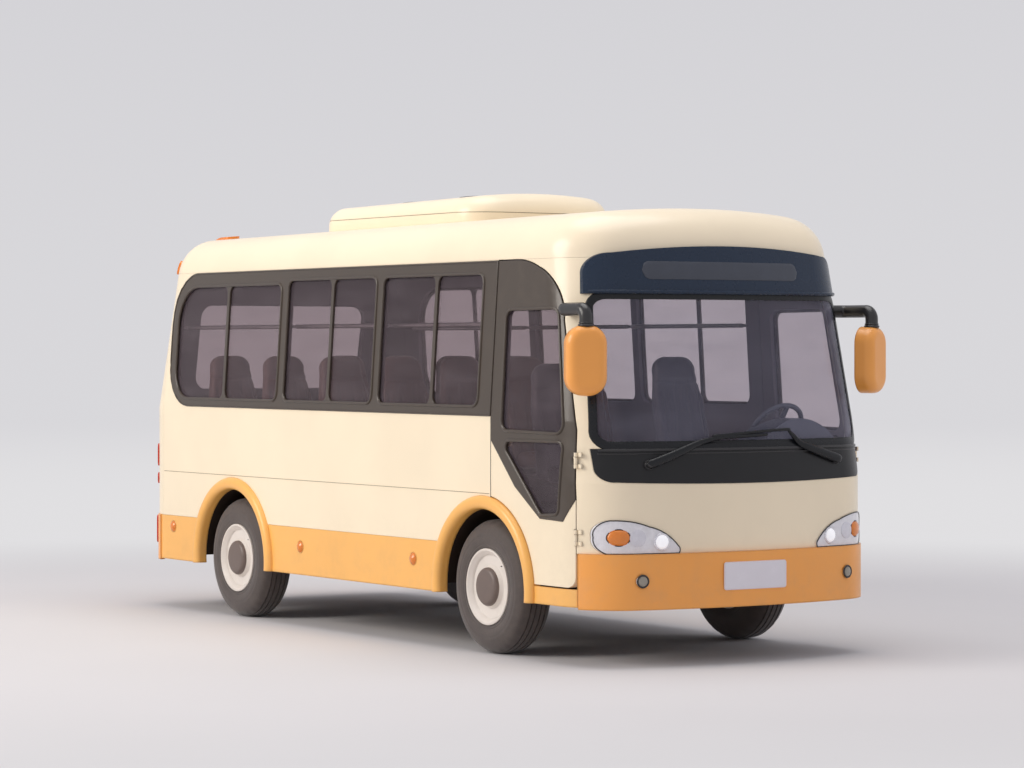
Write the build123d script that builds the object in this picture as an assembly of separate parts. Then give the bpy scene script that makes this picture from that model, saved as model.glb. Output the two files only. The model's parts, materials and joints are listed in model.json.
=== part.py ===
from build123d import *
import os
from math import atan2, cos, hypot, pi, radians, sin, sqrt

# Full-size cab-over minibus, an assembly of separate pieces. Millimetres.
# +X is forward, +Y is the vehicle's left, +Z is up. The origin is on the ground at the centre of the
# overall box. Insets are measured inwards from the outer skin of the body; a negative one stands proud.

# Body form
FRONT_X = 2870.0          # crown of the bowed front
REAR_X = -2892.0          # crown of the bowed rear
HALF_WIDTH = 1040.0
FRONT_BOW_R = 3450.0      # plan radius of the front
REAR_BOW_R = 7000.0
FRONT_CORNER_R = 380.0
REAR_CORNER_R = 300.0
FORM_BASE_Z = 300.0       # the form is lofted from here and trimmed to the sill
RAKE_Z = 1050.0           # the front leans back above this height
BELT_Z = 1400.0           # the sides and rear lean in above this height
ROOF_Z = 2625.0           # crown of the roof at mid length
FRONT_LEAN = 0.194        # horizontal run for each unit of height
SIDE_LEAN = 0.065
REAR_LEAN = 0.20
ROOF_CROWN_R = 8000.0
ROOF_FALL_DEG = 0.4       # the roof drops towards the rear
ROOF_TRIM = 60.0          # the loft runs this far above the crown that trims it
ROOF_EDGE_R = 270.0
WALL = 45.0               # skin, frame and lining together

# Heights on the body
SILL_Z = 342.0
SKIRT_TOP_Z = 650.0
ROOF_SPLIT_Z = 2337.0
FLOOR_Z = 690.0           # underside of the floor
FLOOR_T = 40.0

# Running gear
FRONT_AXLE_X = 1585.0
REAR_AXLE_X = -1550.0
TYRE_R = 400.0
TYRE_W = 235.0
WHEEL_Y = 885.0
RIM_R = 228.0
KINGPIN_IN = 80.0         # kingpin inboard of the wheel's centre plane
RUN_GAP = 0.3             # running clearance of pieces that turn on one another
DOOR_GAP = 6.0            # shut line of a door


def block(x0, x1, y0, y1, z0, z1):
    """Box between two corners."""
    return Pos((x0 + x1) / 2, (y0 + y1) / 2, (z0 + z1) / 2) * Box(abs(x1 - x0), abs(y1 - y0), abs(z1 - z0))


def side_prism(face, y0, y1):
    """Outline drawn as (x, z), spanning y0 to y1."""
    return extrude(Plane.XZ.offset(-y1) * face, y1 - y0, dir=(0, -1, 0))


def front_prism(face, x0, x1):
    """Outline drawn as (y, z), spanning x0 to x1."""
    return extrude(Plane.YZ.offset(x0) * face, x1 - x0, dir=(1, 0, 0))


def rounded(points, radius):
    """Closed outline with every corner rounded."""
    face = make_face(Polyline(*points, close=True))
    return fillet(face.vertices(), radius)


def rounded_rect(x0, x1, z0, z1, radius):
    return rounded(((x0, z0), (x1, z0), (x1, z1), (x0, z1)), radius)


def both_sides(shape):
    """The piece and its mirror image across the centreline."""
    return [shape, mirror(shape, about=Plane.XZ)]


def plan_corner(crown_x, side, bow_r, corner_r, half_width):
    """Centre of a plan corner arc and the point where it meets the bow; side is +1 at the front."""
    bow_x = crown_x - side * bow_r
    run = sqrt((bow_r - corner_r) ** 2 - (half_width - corner_r) ** 2)
    centre = (bow_x + side * run, half_width - corner_r)
    k = bow_r / (bow_r - corner_r)
    return centre, (bow_x + side * run * k, centre[1] * k)


def arc_between(centre, radius, start, end):
    """Middle point of the short arc from start to end."""
    a = atan2(start[1] - centre[1], start[0] - centre[0])
    b = atan2(end[1] - centre[1], end[0] - centre[0])
    if b - a > pi:
        b -= 2 * pi
    if a - b > pi:
        b += 2 * pi
    return centre[0] + radius * cos((a + b) / 2), centre[1] + radius * sin((a + b) / 2)


def plan_face(z, inset, front_shift, rear_shift, side_shift):
    """Level section of the body: bowed ends, straight sides and four round corners."""
    half = HALF_WIDTH - side_shift - inset
    front, rear = FRONT_X - front_shift - inset, REAR_X + rear_shift + inset
    front_r, rear_r = FRONT_CORNER_R - inset, REAR_CORNER_R - inset
    fc, ft = plan_corner(front, 1, FRONT_BOW_R - inset, front_r, half)
    rc, rt = plan_corner(rear, -1, REAR_BOW_R - inset, rear_r, half)
    fm = arc_between(fc, front_r, ft, (fc[0], half))
    rm = arc_between(rc, rear_r, (rc[0], half), rt)
    left = ((ft, fm, (fc[0], half)), ((rc[0], half), rm, rt))
    edges = [ThreePointArc((ft[0], -ft[1], z), (front, 0, z), (ft[0], ft[1], z))]
    edges += [ThreePointArc(*[(p[0], p[1], z) for p in arc]) for arc in left[:1]]
    edges += [Line((fc[0], half, z), (rc[0], half, z))]
    edges += [ThreePointArc(*[(p[0], p[1], z) for p in left[1]])]
    edges += [ThreePointArc((rt[0], rt[1], z), (rear, 0, z), (rt[0], -rt[1], z))]
    edges += [ThreePointArc(*[(p[0], -p[1], z) for p in reversed(left[1])])]
    edges += [Line((rc[0], -half, z), (fc[0], -half, z))]
    edges += [ThreePointArc(*[(p[0], -p[1], z) for p in reversed(left[0])])]
    return Face(Wire(edges))


def body_form(inset):
    """Closed solid of the whole body, its skin moved in by the inset."""
    levels = (FORM_BASE_Z, RAKE_Z, BELT_Z, ROOF_Z + ROOF_TRIM)
    sections = []
    for z in levels:
        above_rake, above_belt = max(0, z - RAKE_Z), max(0, z - BELT_Z)
        shifts = FRONT_LEAN * above_rake, REAR_LEAN * above_belt, SIDE_LEAN * above_belt
        sections.append(plan_face(z, inset, *shifts))
    form = loft(sections, ruled=True)
    crown = Pos(0, 0, ROOF_Z - ROOF_CROWN_R) * Rot(0, 90 - ROOF_FALL_DEG, 0) * Cylinder(ROOF_CROWN_R - inset, 9000)
    form = form & crown
    top = form.faces().sort_by(Axis.Z)[-1]
    return fillet(top.edges(), ROOF_EDGE_R - inset)



SKIN = {}


def skin(outer, inner):
    """Shell between two insets of the body form."""
    for inset in (outer, inner):
        if inset not in SKIN:
            SKIN[inset] = body_form(inset)
    return SKIN[outer] - SKIN[inner]


NODES = {}


def add(name, *pieces):
    """Keep the solids of one node."""
    solids = [solid for piece in pieces for solid in piece.solids()]
    NODES[name] = Compound(children=solids) if len(solids) > 1 else solids[0]


# ---------------------------------------------------------------- wheel arches
ARCH_R = 470.0            # opening over a wheel
ARCH_TRIM_R = 550.0
ARCH_TRIM_PROUD = 35.0
ARCH_SHIFT_X = 20.0       # the arch sits a little ahead of its axle
ARCH_Z = 395.0
TUB_T = 25.0
FRONT_TUB_Y = 510.0       # inner wall of a front wheel housing, wide enough for steering
REAR_TUB_Y = 735.0
TUB_BASE_Z = 395.0
AXLE_SLOT, AXLE_SLOT_Z = 130.0, 580.0     # half width and top of the slot for an axle
ARCHES = ((FRONT_AXLE_X + ARCH_SHIFT_X, FRONT_TUB_Y), (REAR_AXLE_X + ARCH_SHIFT_X, REAR_TUB_Y))
FAR = 4000.0


def across(x, z, radius, y0, y1):
    """Cylinder whose axis runs across the vehicle."""
    return Pos(x, (y0 + y1) / 2, z) * Rot(90, 0, 0) * Cylinder(radius, abs(y1 - y0))


def arch_trim(x):
    """Rounded bead round one wheel opening, ending at the sill."""
    back = HALF_WIDTH - WALL
    front = HALF_WIDTH + ARCH_TRIM_PROUD
    ring = Plane.XY * make_face(Polyline((ARCH_R, back), (ARCH_TRIM_R, back), (ARCH_TRIM_R, front), (ARCH_R, front), close=True))
    lip = ring.vertices().sort_by(Axis.Y)[-2:]
    ring = fillet(lip, (ARCH_TRIM_R - ARCH_R) * 0.44)
    bead = revolve(ring, Axis.Y, 360)
    return Pos(x, 0, ARCH_Z) * bead - block(x - FAR, x + FAR, 0, FAR, -FAR, SILL_Z)


# ---------------------------------------------------------------- door outline
DOOR_REAR_X = 1690.0
DOOR_FRONT_X = 2551.0
DOOR_BASE_Z = 450.0
DOOR_CORNER_R = 60.0


def door_face(grow):
    """Outline of a cab door, grown on every side: arch cut-out behind, raked round top corner in front."""
    rear, front = DOOR_REAR_X - grow, DOOR_FRONT_X + grow
    base, top = DOOR_BASE_Z - grow, ROOF_SPLIT_Z + grow
    bend = 0.29 * DOOR_CORNER_R
    shoulder, crest, tip = (2378 + grow, 1979), (2130, 2288 + grow), (1882, top)
    edges = Polyline((rear, top), (rear, base), (front - DOOR_CORNER_R, base))
    edges += ThreePointArc((front - DOOR_CORNER_R, base), (front - bend, base + bend), (front, base + DOOR_CORNER_R))
    edges += Polyline((front, base + DOOR_CORNER_R), (front, 958), (2532 + grow, 1354), shoulder)
    edges += ThreePointArc(shoulder, (2290 + grow, 2190 + grow), crest)
    edges += ThreePointArc(crest, (2010, 2325 + grow), tip)
    edges += Line(tip, (rear, top))
    arch = Pos(FRONT_AXLE_X + ARCH_SHIFT_X, ARCH_Z) * Circle(ARCH_TRIM_R + DOOR_GAP / 2 - grow)
    return make_face(edges) - arch


DOOR_CUT = side_prism(door_face(DOOR_GAP / 2), 0, FAR)
DOOR_SHAPE = side_prism(door_face(-DOOR_GAP / 2), 0, FAR)
DOOR_VOID = DOOR_CUT - body_form(WALL + DOOR_GAP)
DOOR_VOIDS = both_sides(DOOR_VOID)


# Each hinge has a barrel on the door between two on the front panel, which hold the pin.
HINGE_X, HINGE_Y = 2551.0, 1020.0
HINGE_HEIGHTS = (740.0, 1180.0)
BARREL_R, BARREL_HALF, HINGE_HALF, HINGE_PIN_R = 11.0, 20.0, 45.0, 5.0
LEAF_L, LEAF_T, LEAF_CLEAR = 42.0, 12.0, 3.0


def upright(radius, z0, z1):
    """Cylinder on the hinge line of the left door."""
    return Pos(HINGE_X, HINGE_Y, (z0 + z1) / 2) * Cylinder(radius, z1 - z0)


def hinge_parts():
    """Pieces for the door and for the panel, and what each cuts from the other."""
    on_door, on_panel, from_door, from_panel = Part(), Part(), Part(), Part()
    for z in HINGE_HEIGHTS:
        low, high = z - BARREL_HALF, z + BARREL_HALF
        ends = ((z - HINGE_HALF, low - RUN_GAP), (high + RUN_GAP, z + HINGE_HALF))
        on_door += upright(BARREL_R, low, high)
        on_door += block(HINGE_X - LEAF_L, HINGE_X, HINGE_Y - LEAF_T, HINGE_Y - 2, low, high)
        from_door += upright(HINGE_PIN_R + RUN_GAP, z - HINGE_HALF, z + HINGE_HALF)
        on_panel += upright(HINGE_PIN_R, z - HINGE_HALF, z + HINGE_HALF)
        for z0, z1 in ends:
            on_panel += upright(BARREL_R, z0, z1)
            on_panel += block(HINGE_X, HINGE_X + LEAF_L, HINGE_Y - LEAF_T - 6, HINGE_Y - 8, z0, z1)
            from_door += upright(BARREL_R + LEAF_CLEAR, z0 - LEAF_CLEAR, z1 + (RUN_GAP if z1 < z else LEAF_CLEAR))
        from_panel += upright(BARREL_R + LEAF_CLEAR, low - RUN_GAP, high + RUN_GAP)
        from_panel += block(HINGE_X - LEAF_L - DOOR_GAP, HINGE_X, HINGE_Y - LEAF_T - LEAF_CLEAR, FAR, low - LEAF_CLEAR, high + LEAF_CLEAR)
    return on_door, on_panel, from_door, from_panel


HINGE_ON_DOOR, HINGE_ON_PANEL, HINGE_FROM_DOOR, HINGE_FROM_PANEL = hinge_parts()


def clear_doors(shape):
    """Take both door openings out of a fixed piece."""
    for void in DOOR_VOIDS:
        shape = shape - void
    return shape


def clear_arches(shape, radius=ARCH_TRIM_R):
    for x, _ in ARCHES:
        shape = shape - across(x, ARCH_Z, radius, -FAR, FAR)
    return shape


# ---------------------------------------------------------------- side windows
BAND_PROUD = 3.0
BAND_DEPTH = 12.0
GLASS_T = 5.0
GLASS_LAP = 12.0          # glass reaches this far behind its frame
BAND_REAR_X = -2480.0
BAND_BASE_Z = 1420.0
BAND_TOP_R, BAND_FOOT_R = 350.0, 280.0   # rear corners
WINDOW_BASE_Z = 1475.0
WINDOW_CORNER_R = 55.0
DIVIDER_W = 32.0
# x of the rear edge, x of the front edge, top z, x of the divider
SIDE_WINDOWS = ((-2392, -934, 2240, -1675), (-839, 294, 2263, -259), (379, 1538, 2260, 1008))


def band_face():
    """Dark band round the side windows, rounded off at the rear."""
    z0, z1 = BAND_BASE_Z, ROOF_SPLIT_Z
    front = DOOR_REAR_X - DOOR_GAP / 2
    face = make_face(Polyline((BAND_REAR_X, z0), (front, z0), (front, z1), (BAND_REAR_X, z1), close=True))
    rear = face.vertices().sort_by(Axis.X)[:2].sort_by(Axis.Y)
    face = fillet(rear[0], BAND_FOOT_R)
    return fillet(face.vertices().group_by(Axis.Y)[-1].sort_by(Axis.X)[0], BAND_TOP_R)


def window_face(x0, x1, top, grow):
    """Outline of a window or pane; at the rear end of the band its rear corners follow the band."""
    z0, z1 = WINDOW_BASE_Z - grow, top + grow
    rear_margin = x0 - BAND_REAR_X
    rear_top, rear_foot = WINDOW_CORNER_R, WINDOW_CORNER_R
    if rear_margin < BAND_TOP_R:
        rear_top, rear_foot = BAND_TOP_R - rear_margin, BAND_FOOT_R - rear_margin
    x0, x1 = x0 - grow, x1 + grow
    face = make_face(Polyline((x0, z0), (x1, z0), (x1, z1), (x0, z1), close=True))
    face = fillet(face.vertices().group_by(Axis.X)[-1], WINDOW_CORNER_R + grow)
    face = fillet(face.vertices().group_by(Axis.Y)[0].sort_by(Axis.X)[0], rear_foot + grow)
    return fillet(face.vertices().group_by(Axis.Y)[-1].sort_by(Axis.X)[0], rear_top + grow)


band_skin = skin(-BAND_PROUD, BAND_DEPTH)
band_prism = side_prism(band_face(), 0, FAR)
glass_skin = skin(BAND_DEPTH, BAND_DEPTH + GLASS_T)

band = band_skin & band_prism
glass = []
window_cuts = []
for x0, x1, top, divider in SIDE_WINDOWS:
    window_cuts.append(side_prism(window_face(x0, x1, top, GLASS_LAP), 0, FAR))
    for a, b in ((x0, divider - DIVIDER_W / 2), (divider + DIVIDER_W / 2, x1)):
        band = band - side_prism(window_face(a, b, top, 0), 0, FAR)
        glass.append(glass_skin & side_prism(window_face(a, b, top, GLASS_LAP), 0, FAR))

# ---------------------------------------------------------------- body panels
FRONT_PANEL_REAR_X = 1700.0
REAR_PANEL_FRONT_X = -2560.0
BUMPER_PROUD = 8.0
shell = skin(0, WALL)
above_skirt = block(-FAR, FAR, -FAR, FAR, SKIRT_TOP_Z, ROOF_SPLIT_Z)

wall = shell & above_skirt & block(REAR_PANEL_FRONT_X, DOOR_REAR_X, 0, FAR, 0, FAR)
wall = clear_arches(wall) - DOOR_VOID - (band_prism - body_form(BAND_DEPTH))
for cut in window_cuts:
    wall = wall - cut
add("side_walls", *both_sides(wall))
add("window_frames", *both_sides(band))

WINDSHIELD_BASE_Z = 1250.0
WINDSHIELD_TOP_Z = 2130.0
WINDSHIELD_HALF_BASE = 955.0
WINDSHIELD_HALF_TOP = 890.0
SEAT_LAP = 25.0
SCREEN_DEPTH = 10.0
SCREEN_SET = 2.0
# y, z down one side of the cowl: top corner, start, middle and end of the lower corner; then its middle
COWL_SIDE = ((962, 1246), (957, 1135), (934, 1080), (870, 1058))
COWL_CENTRE_Z = 1042.0

screen_face = rounded(((-WINDSHIELD_HALF_BASE, WINDSHIELD_BASE_Z), (WINDSHIELD_HALF_BASE, WINDSHIELD_BASE_Z),
                       (WINDSHIELD_HALF_TOP, WINDSHIELD_TOP_Z), (-WINDSHIELD_HALF_TOP, WINDSHIELD_TOP_Z)), 90)
rear_glass_face = rounded_rect(-700, 700, 1500, 2150, 120)
cowl_corner, cowl_bend = COWL_SIDE[0], COWL_SIDE[1:]
cowl_right = [(-y, z) for y, z in COWL_SIDE]
cowl_face = make_face(Polyline(cowl_right[1], cowl_right[0], cowl_corner, cowl_bend[0]) + ThreePointArc(*cowl_bend) +
                      ThreePointArc(cowl_bend[2], (0, COWL_CENTRE_Z), cowl_right[3]) + ThreePointArc(*reversed(cowl_right[1:])))
screen_prism = front_prism(screen_face, 1500, FAR)
cowl_prism = front_prism(cowl_face, 1500, FAR)
recess = body_form(SCREEN_DEPTH)
add("windshield", skin(SCREEN_SET, SCREEN_DEPTH) & screen_prism)
add("wiper_cowl", skin(-BAND_PROUD, SCREEN_DEPTH) & cowl_prism)

front = shell & above_skirt & block(FRONT_PANEL_REAR_X, FAR, -FAR, FAR, 0, FAR)
front = clear_arches(clear_doors(front), ARCH_TRIM_R + DOOR_GAP / 2) - (screen_prism - recess) - (cowl_prism - recess)
front = front - front_prism(offset(screen_face, -SEAT_LAP), 1500, FAR)

rear_glass_prism = front_prism(rear_glass_face, -FAR, -1500)
rear = shell & above_skirt & block(-FAR, REAR_PANEL_FRONT_X, -FAR, FAR, 0, FAR)
rear = rear - (rear_glass_prism - recess) - front_prism(offset(rear_glass_face, -SEAT_LAP), -FAR, -1500)
rear_glass = skin(SCREEN_SET, SCREEN_DEPTH) & rear_glass_prism
add("side_glass", *[g for pane in glass for g in both_sides(pane)], rear_glass)

roof = clear_doors(shell & block(-FAR, FAR, -FAR, FAR, ROOF_SPLIT_Z, FAR))
add("roof", roof)

VISOR_PROUD = 22.0
# y, z down one side of the visor: start, middle and end of the upper corner, then the foot
VISOR_SIDE = ((770, 2366), (872, 2326), (908, 2238), (918, 2130))
VISOR_CREST_Z = 2412.0
visor_right = [(-y, z) for y, z in VISOR_SIDE]
visor_face = make_face(ThreePointArc(*VISOR_SIDE[:3]) + Polyline(*VISOR_SIDE[2:], *reversed(visor_right[2:])) +
                       ThreePointArc(*reversed(visor_right[:3])) + ThreePointArc(visor_right[0], (0, VISOR_CREST_Z), VISOR_SIDE[0]))
visor = (Pos(VISOR_PROUD, 0, 0) * body_form(0) - body_form(0)) & front_prism(visor_face, 2300, FAR)
visor = clear_doors(visor)
add("sign_visor", visor)

# lamps in the front
# y, z of the lamp's outline above its foot, each row the start and the middle of an arc
LAMP_ARCS = ((918, SKIRT_TOP_Z), (956, 680)), ((972, 745), (957, 812)), ((905, 842), (800, 836)), ((690, 806), (575, 758)), ((503, 692), (492, 670))
lamp_starts = [row[0] for row in LAMP_ARCS] + [(500, SKIRT_TOP_Z)]
head_edges = Line(lamp_starts[-1], lamp_starts[0])
for (start, middle), end in zip(LAMP_ARCS, lamp_starts[1:]):
    head_edges += ThreePointArc(start, middle, end)
head_face = make_face(head_edges)
LAMP_PROUD = 6.0
LAMP_DEPTH = 30.0
indicator_face = rounded_rect(802, 914, 699, 789, 44)
head_cut = front_prism(head_face, 1500, FAR)
indicator_cut = front_prism(indicator_face, 1500, FAR)
lamp_skin = skin(-LAMP_PROUD, LAMP_DEPTH)
lamp_back = body_form(LAMP_DEPTH)
door_side = block(0, DOOR_FRONT_X + DOOR_GAP, -FAR, FAR, 0, FAR)
head = (lamp_skin & head_cut) - indicator_cut - door_side
indicator = (lamp_skin & indicator_cut)
for cut in both_sides(head_cut - lamp_back - door_side):
    front = front - cut
add("headlamps", *both_sides(head))
for cut, boss in zip(both_sides(HINGE_FROM_PANEL), both_sides(HINGE_ON_PANEL)):
    front = front - cut + boss
add("front_panel", front)

# bumpers and skirts
SKIRT_T = 25.0
below_skirt = block(-FAR, FAR, -FAR, FAR, SILL_Z, SKIRT_TOP_Z)
FRONT_BUMPER_X = 2560.0
REAR_BUMPER_X = -2600.0
REAR_ROLL_R = 110.0       # the rear bumper rolls under at its foot
bumper_skin = (body_form(-BUMPER_PROUD) - body_form(SKIRT_T)) & block(-FAR, FAR, -FAR, FAR, SILL_Z - 10, SKIRT_TOP_Z)
FOG_Y, FOG_Z, FOG_R = 743.0, 497.0, 35.0
front_bumper = bumper_skin & block(FRONT_BUMPER_X, FAR, -FAR, FAR, 0, FAR)
front_bumper = Pos(25 - BUMPER_PROUD, 0, 0) * front_bumper
front_bumper = front_bumper - block(0, FRONT_BUMPER_X, -FAR, FAR, 0, FAR)
rear_bumper = bumper_skin & block(-FAR, REAR_BUMPER_X, -FAR, FAR, 0, FAR)
roll_x, roll_z = REAR_X - BUMPER_PROUD + REAR_ROLL_R, SILL_Z - 10 + REAR_ROLL_R
rear_bumper = rear_bumper - (block(-FAR, roll_x, -FAR, FAR, 0, roll_z) - across(roll_x, roll_z, REAR_ROLL_R, -FAR, FAR))
skirt = skin(0, SKIRT_T) & below_skirt & block(REAR_BUMPER_X, FRONT_BUMPER_X, 0, FAR, 0, FAR)
skirt = clear_arches(skirt) - DOOR_VOID - block(DOOR_REAR_X, DOOR_FRONT_X + DOOR_GAP, 0, FAR, DOOR_BASE_Z - DOOR_GAP, FAR)
add("skirts", *both_sides(skirt))
add("wheel_arch_trims", *[s for x, _ in ARCHES for s in both_sides(arch_trim(x))])
add("rear_panel", rear)

# ---------------------------------------------------------------- lamps, plate and markers
fog = [Pos(0, y, 0) * front_prism(Pos(0, FOG_Z) * Circle(FOG_R), 2400, FAR) for y in (FOG_Y, -FOG_Y)]
fog_back = Pos(25 - BUMPER_PROUD, 0, 0) * body_form(BUMPER_PROUD)
fog_front = Pos(25 - BUMPER_PROUD, 0, 0) * body_form(-2 * BUMPER_PROUD)
add("fog_lamps", *[(fog_front - fog_back) & cut for cut in fog])
for cut in fog:
    front_bumper = front_bumper - (cut - fog_back)

PLATE_W, PLATE_H, PLATE_Z, PLATE_T = 440.0, 151.0, 511.0, 5.0
BUMPER_FRONT_X = 2895.0
plate = block(2800, BUMPER_FRONT_X + PLATE_T, -PLATE_W / 2, PLATE_W / 2, PLATE_Z - PLATE_H / 2, PLATE_Z + PLATE_H / 2)
plate = plate - front_bumper - block(0, 2884, -FAR, FAR, 0, FAR)
add("front_plate", plate)
add("bumpers", front_bumper, rear_bumper)

MARKER_R = 38.0
MARKER_PROUD = 20.0
# x, z of the round side markers
MARKERS = ((-2407, 574), (-601, 525), (810, 526))
# markers on the upper rear corners, square to the corner's curve
REAR_MARKER_AT, REAR_MARKER_TURN = (-2560.0, 925.0, 2385.0), 123.0
REAR_MARKER_W, REAR_MARKER_H, REAR_MARKER_PROUD, MARKER_REACH = 60.0, 96.0, 16.0, 160.0
ROOF_LENS_X0, ROOF_LENS_X1, ROOF_LENS_Y, ROOF_LENS_W, ROOF_LENS_PROUD = -2560.0, -2320.0, 600.0, 110.0, 18.0
marker_ball_r = (MARKER_R ** 2 + MARKER_PROUD ** 2) / (2 * MARKER_PROUD)
markers = []
for x, z in MARKERS:
    ball = Pos(x, HALF_WIDTH + MARKER_PROUD - marker_ball_r, z) * Sphere(marker_ball_r)
    markers += both_sides(ball - block(x - 200, x + 200, 0, HALF_WIDTH, z - 200, z + 200))
corner_box = Box(MARKER_REACH, REAR_MARKER_W, REAR_MARKER_H)
corner_box = fillet(corner_box.edges().filter_by(Axis.X), 0.45 * REAR_MARKER_W)
markers += both_sides(skin(-REAR_MARKER_PROUD, 0) & Pos(*REAR_MARKER_AT) * Rot(0, 0, REAR_MARKER_TURN) * corner_box)
lens = Plane.XY.offset(2400) * Pos((ROOF_LENS_X0 + ROOF_LENS_X1) / 2, 0) * RectangleRounded(ROOF_LENS_X1 - ROOF_LENS_X0, ROOF_LENS_W, 45)
lens = skin(-ROOF_LENS_PROUD, 0) & extrude(Pos(0, ROOF_LENS_Y, 0) * lens, 400)
markers += both_sides(lens)
add("amber_lamps", *both_sides(indicator), *markers)

# z of the foot, z of the top, how far each stands proud
TAIL_LAMPS = ((442, 640, 12), (860, 940, 14), (985, 1145, 14))
tails = []
for z0, z1, proud in TAIL_LAMPS:
    lamp_face = rounded_rect(REAR_X - 60, REAR_X + 170, z0, z1, 35)
    tails += both_sides((skin(-proud, 0) if z0 > SKIRT_TOP_Z else skin(-proud - BUMPER_PROUD, -BUMPER_PROUD)) & side_prism(lamp_face, 780, FAR))
add("tail_lamps", *tails)

# ---------------------------------------------------------------- cab doors
frame_face = door_face(-DOOR_GAP / 2) - make_face(Polyline((1600, 1340), (1694, 1277), (1952, 1010), (2215, 835), (2451, 828),
                                            (2551, 958), (2700, 958), (2700, 300), (1600, 300), close=True))
door_window_face = rounded(((1813, 1339), (2451, 1330), (2329, 2046), (1804, 2042)), WINDOW_CORNER_R)
quarter_face = rounded(((1802, 1274), (2225, 864), (2400, 872), (2441, 1278)), 40)
frame = band_skin & side_prism(frame_face, 0, FAR)
door = (shell & DOOR_SHAPE) - (side_prism(frame_face, 0, FAR) - body_form(BAND_DEPTH))
door_glass = []
for face in (door_window_face, quarter_face):
    frame = frame - side_prism(face, 0, FAR)
    opening = side_prism(offset(face, GLASS_LAP), 0, FAR)
    door = door - opening
    door_glass.append(glass_skin & opening)
door = door - HINGE_FROM_DOOR + (HINGE_ON_DOOR - HINGE_FROM_DOOR)
frame = frame - HINGE_FROM_DOOR - HINGE_ON_DOOR
for side, pick in (("left", 0), ("right", 1)):
    add(f"door_{side}", both_sides(door)[pick])
    add(f"door_frame_{side}", both_sides(frame)[pick])
    add(f"door_glass_{side}", *[both_sides(g)[pick] for g in door_glass])

# ---------------------------------------------------------------- floor, wheel housings, engine cover
ENGINE_X, ENGINE_L, ENGINE_W = 1330.0, 760.0, 540.0
ENGINE_Z0, ENGINE_Z1 = 470.0, 960.0
COVER_CLEAR = 45.0
cabin = body_form(WALL)
floor = block(-FAR, FAR, -FAR, FAR, FLOOR_Z, FLOOR_Z + FLOOR_T)
cover_x = (ENGINE_X - ENGINE_L / 2 - COVER_CLEAR, ENGINE_X + ENGINE_L / 2 + COVER_CLEAR)
cover_y = ENGINE_W / 2 + COVER_CLEAR
cover_z = ENGINE_Z1 + COVER_CLEAR
cover = block(cover_x[0] - TUB_T, cover_x[1] + TUB_T, -cover_y - TUB_T, cover_y + TUB_T, FLOOR_Z, cover_z + TUB_T)
floor -= cover
cover -= block(cover_x[0], cover_x[1], -cover_y, cover_y, 0, cover_z)
housings = []
for x, inner_y in ARCHES:
    tub = across(x, ARCH_Z, ARCH_R + TUB_T, inner_y - TUB_T, HALF_WIDTH)
    tub -= block(x - FAR, x + FAR, -FAR, FAR, -FAR, TUB_BASE_Z)
    floor = floor - tub - mirror(tub, about=Plane.XZ)
    cover = cover - tub - mirror(tub, about=Plane.XZ)
    tub = tub - across(x, ARCH_Z, ARCH_R, inner_y, FAR)
    tub -= block(x - ARCH_SHIFT_X - AXLE_SLOT, x - ARCH_SHIFT_X + AXLE_SLOT, 0, inner_y, 0, AXLE_SLOT_Z)
    housings += both_sides(clear_doors(tub & cabin))
add("floor", clear_doors(floor & cabin))
add("engine_cover", cover)
add("wheel_housings", *housings)

# ---------------------------------------------------------------- roof air conditioner
AC_X0, AC_X1, AC_HALF_W, AC_TOP_Z = -1220.0, 740.0, 560.0, 2800.0
AC_CROWN_R, AC_FALL_DEG = 4000.0, 0.6     # top rounded across and falling towards the rear
AC_CORNER_R, AC_EDGE_R = 220.0, 125.0
unit = block(AC_X0, AC_X1, -AC_HALF_W, AC_HALF_W, 2500, AC_TOP_Z)
unit = fillet(unit.edges().filter_by(Axis.Z), AC_CORNER_R)
crown = Pos(AC_CROWN_R, 0, 0) * Cylinder(AC_CROWN_R, 2 * FAR)
unit &= Pos(AC_X1 - AC_EDGE_R, 0, AC_TOP_Z) * Rot(0, 90 - AC_FALL_DEG, 0) * crown
unit = fillet(unit.faces().sort_by(Axis.Z)[-1].edges(), AC_EDGE_R)
add("air_conditioner", unit - body_form(0))

# ---------------------------------------------------------------- mirrors
ARM_R = 38.0
ARM_Z = 2040.0
HEAD = Vector(2683, 1039, 1748)
HEAD_W, HEAD_H, HEAD_T = 236.0, 400.0, 116.0
HEAD_SWEEP = 25.0
arm_path = FilletPolyline((2425, 900, ARM_Z), (2432, 1035, ARM_Z), (HEAD.X, HEAD.Y, ARM_Z), (HEAD.X, HEAD.Y, HEAD.Z + HEAD_H / 2 - 20), radius=50)
arm = sweep(Plane(arm_path @ 0, z_dir=arm_path % 0) * Circle(ARM_R), arm_path)
head_shape = Box(HEAD_T, HEAD_W, HEAD_H)
head_shape = fillet(head_shape.edges().filter_by(Axis.X), HEAD_W * 0.45)
head_shape = fillet(head_shape.faces().sort_by(Axis.X)[-1].edges(), HEAD_T * 0.45)
head_at = Pos(HEAD) * Rot(0, 0, HEAD_SWEEP)
mirror_glass = head_at * Pos(-HEAD_T / 2 + 2, 0, 0) * Box(4, HEAD_W - 30, HEAD_H - 30)
mirror_glass = head_at * Pos(-HEAD_T / 2 + 2, 0, 0) * extrude(Plane.YZ.offset(-2) * RectangleRounded(HEAD_W - 30, HEAD_H - 30, 90), 4)
head_solid = head_at * head_shape - mirror_glass
arm = arm - body_form(0) - head_solid - mirror_glass
add("mirror_arms", *both_sides(arm.solids().sort_by(SortBy.VOLUME)[-1]))
add("mirror_heads", *both_sides(head_solid))
add("mirror_glasses", *both_sides(mirror_glass))

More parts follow.
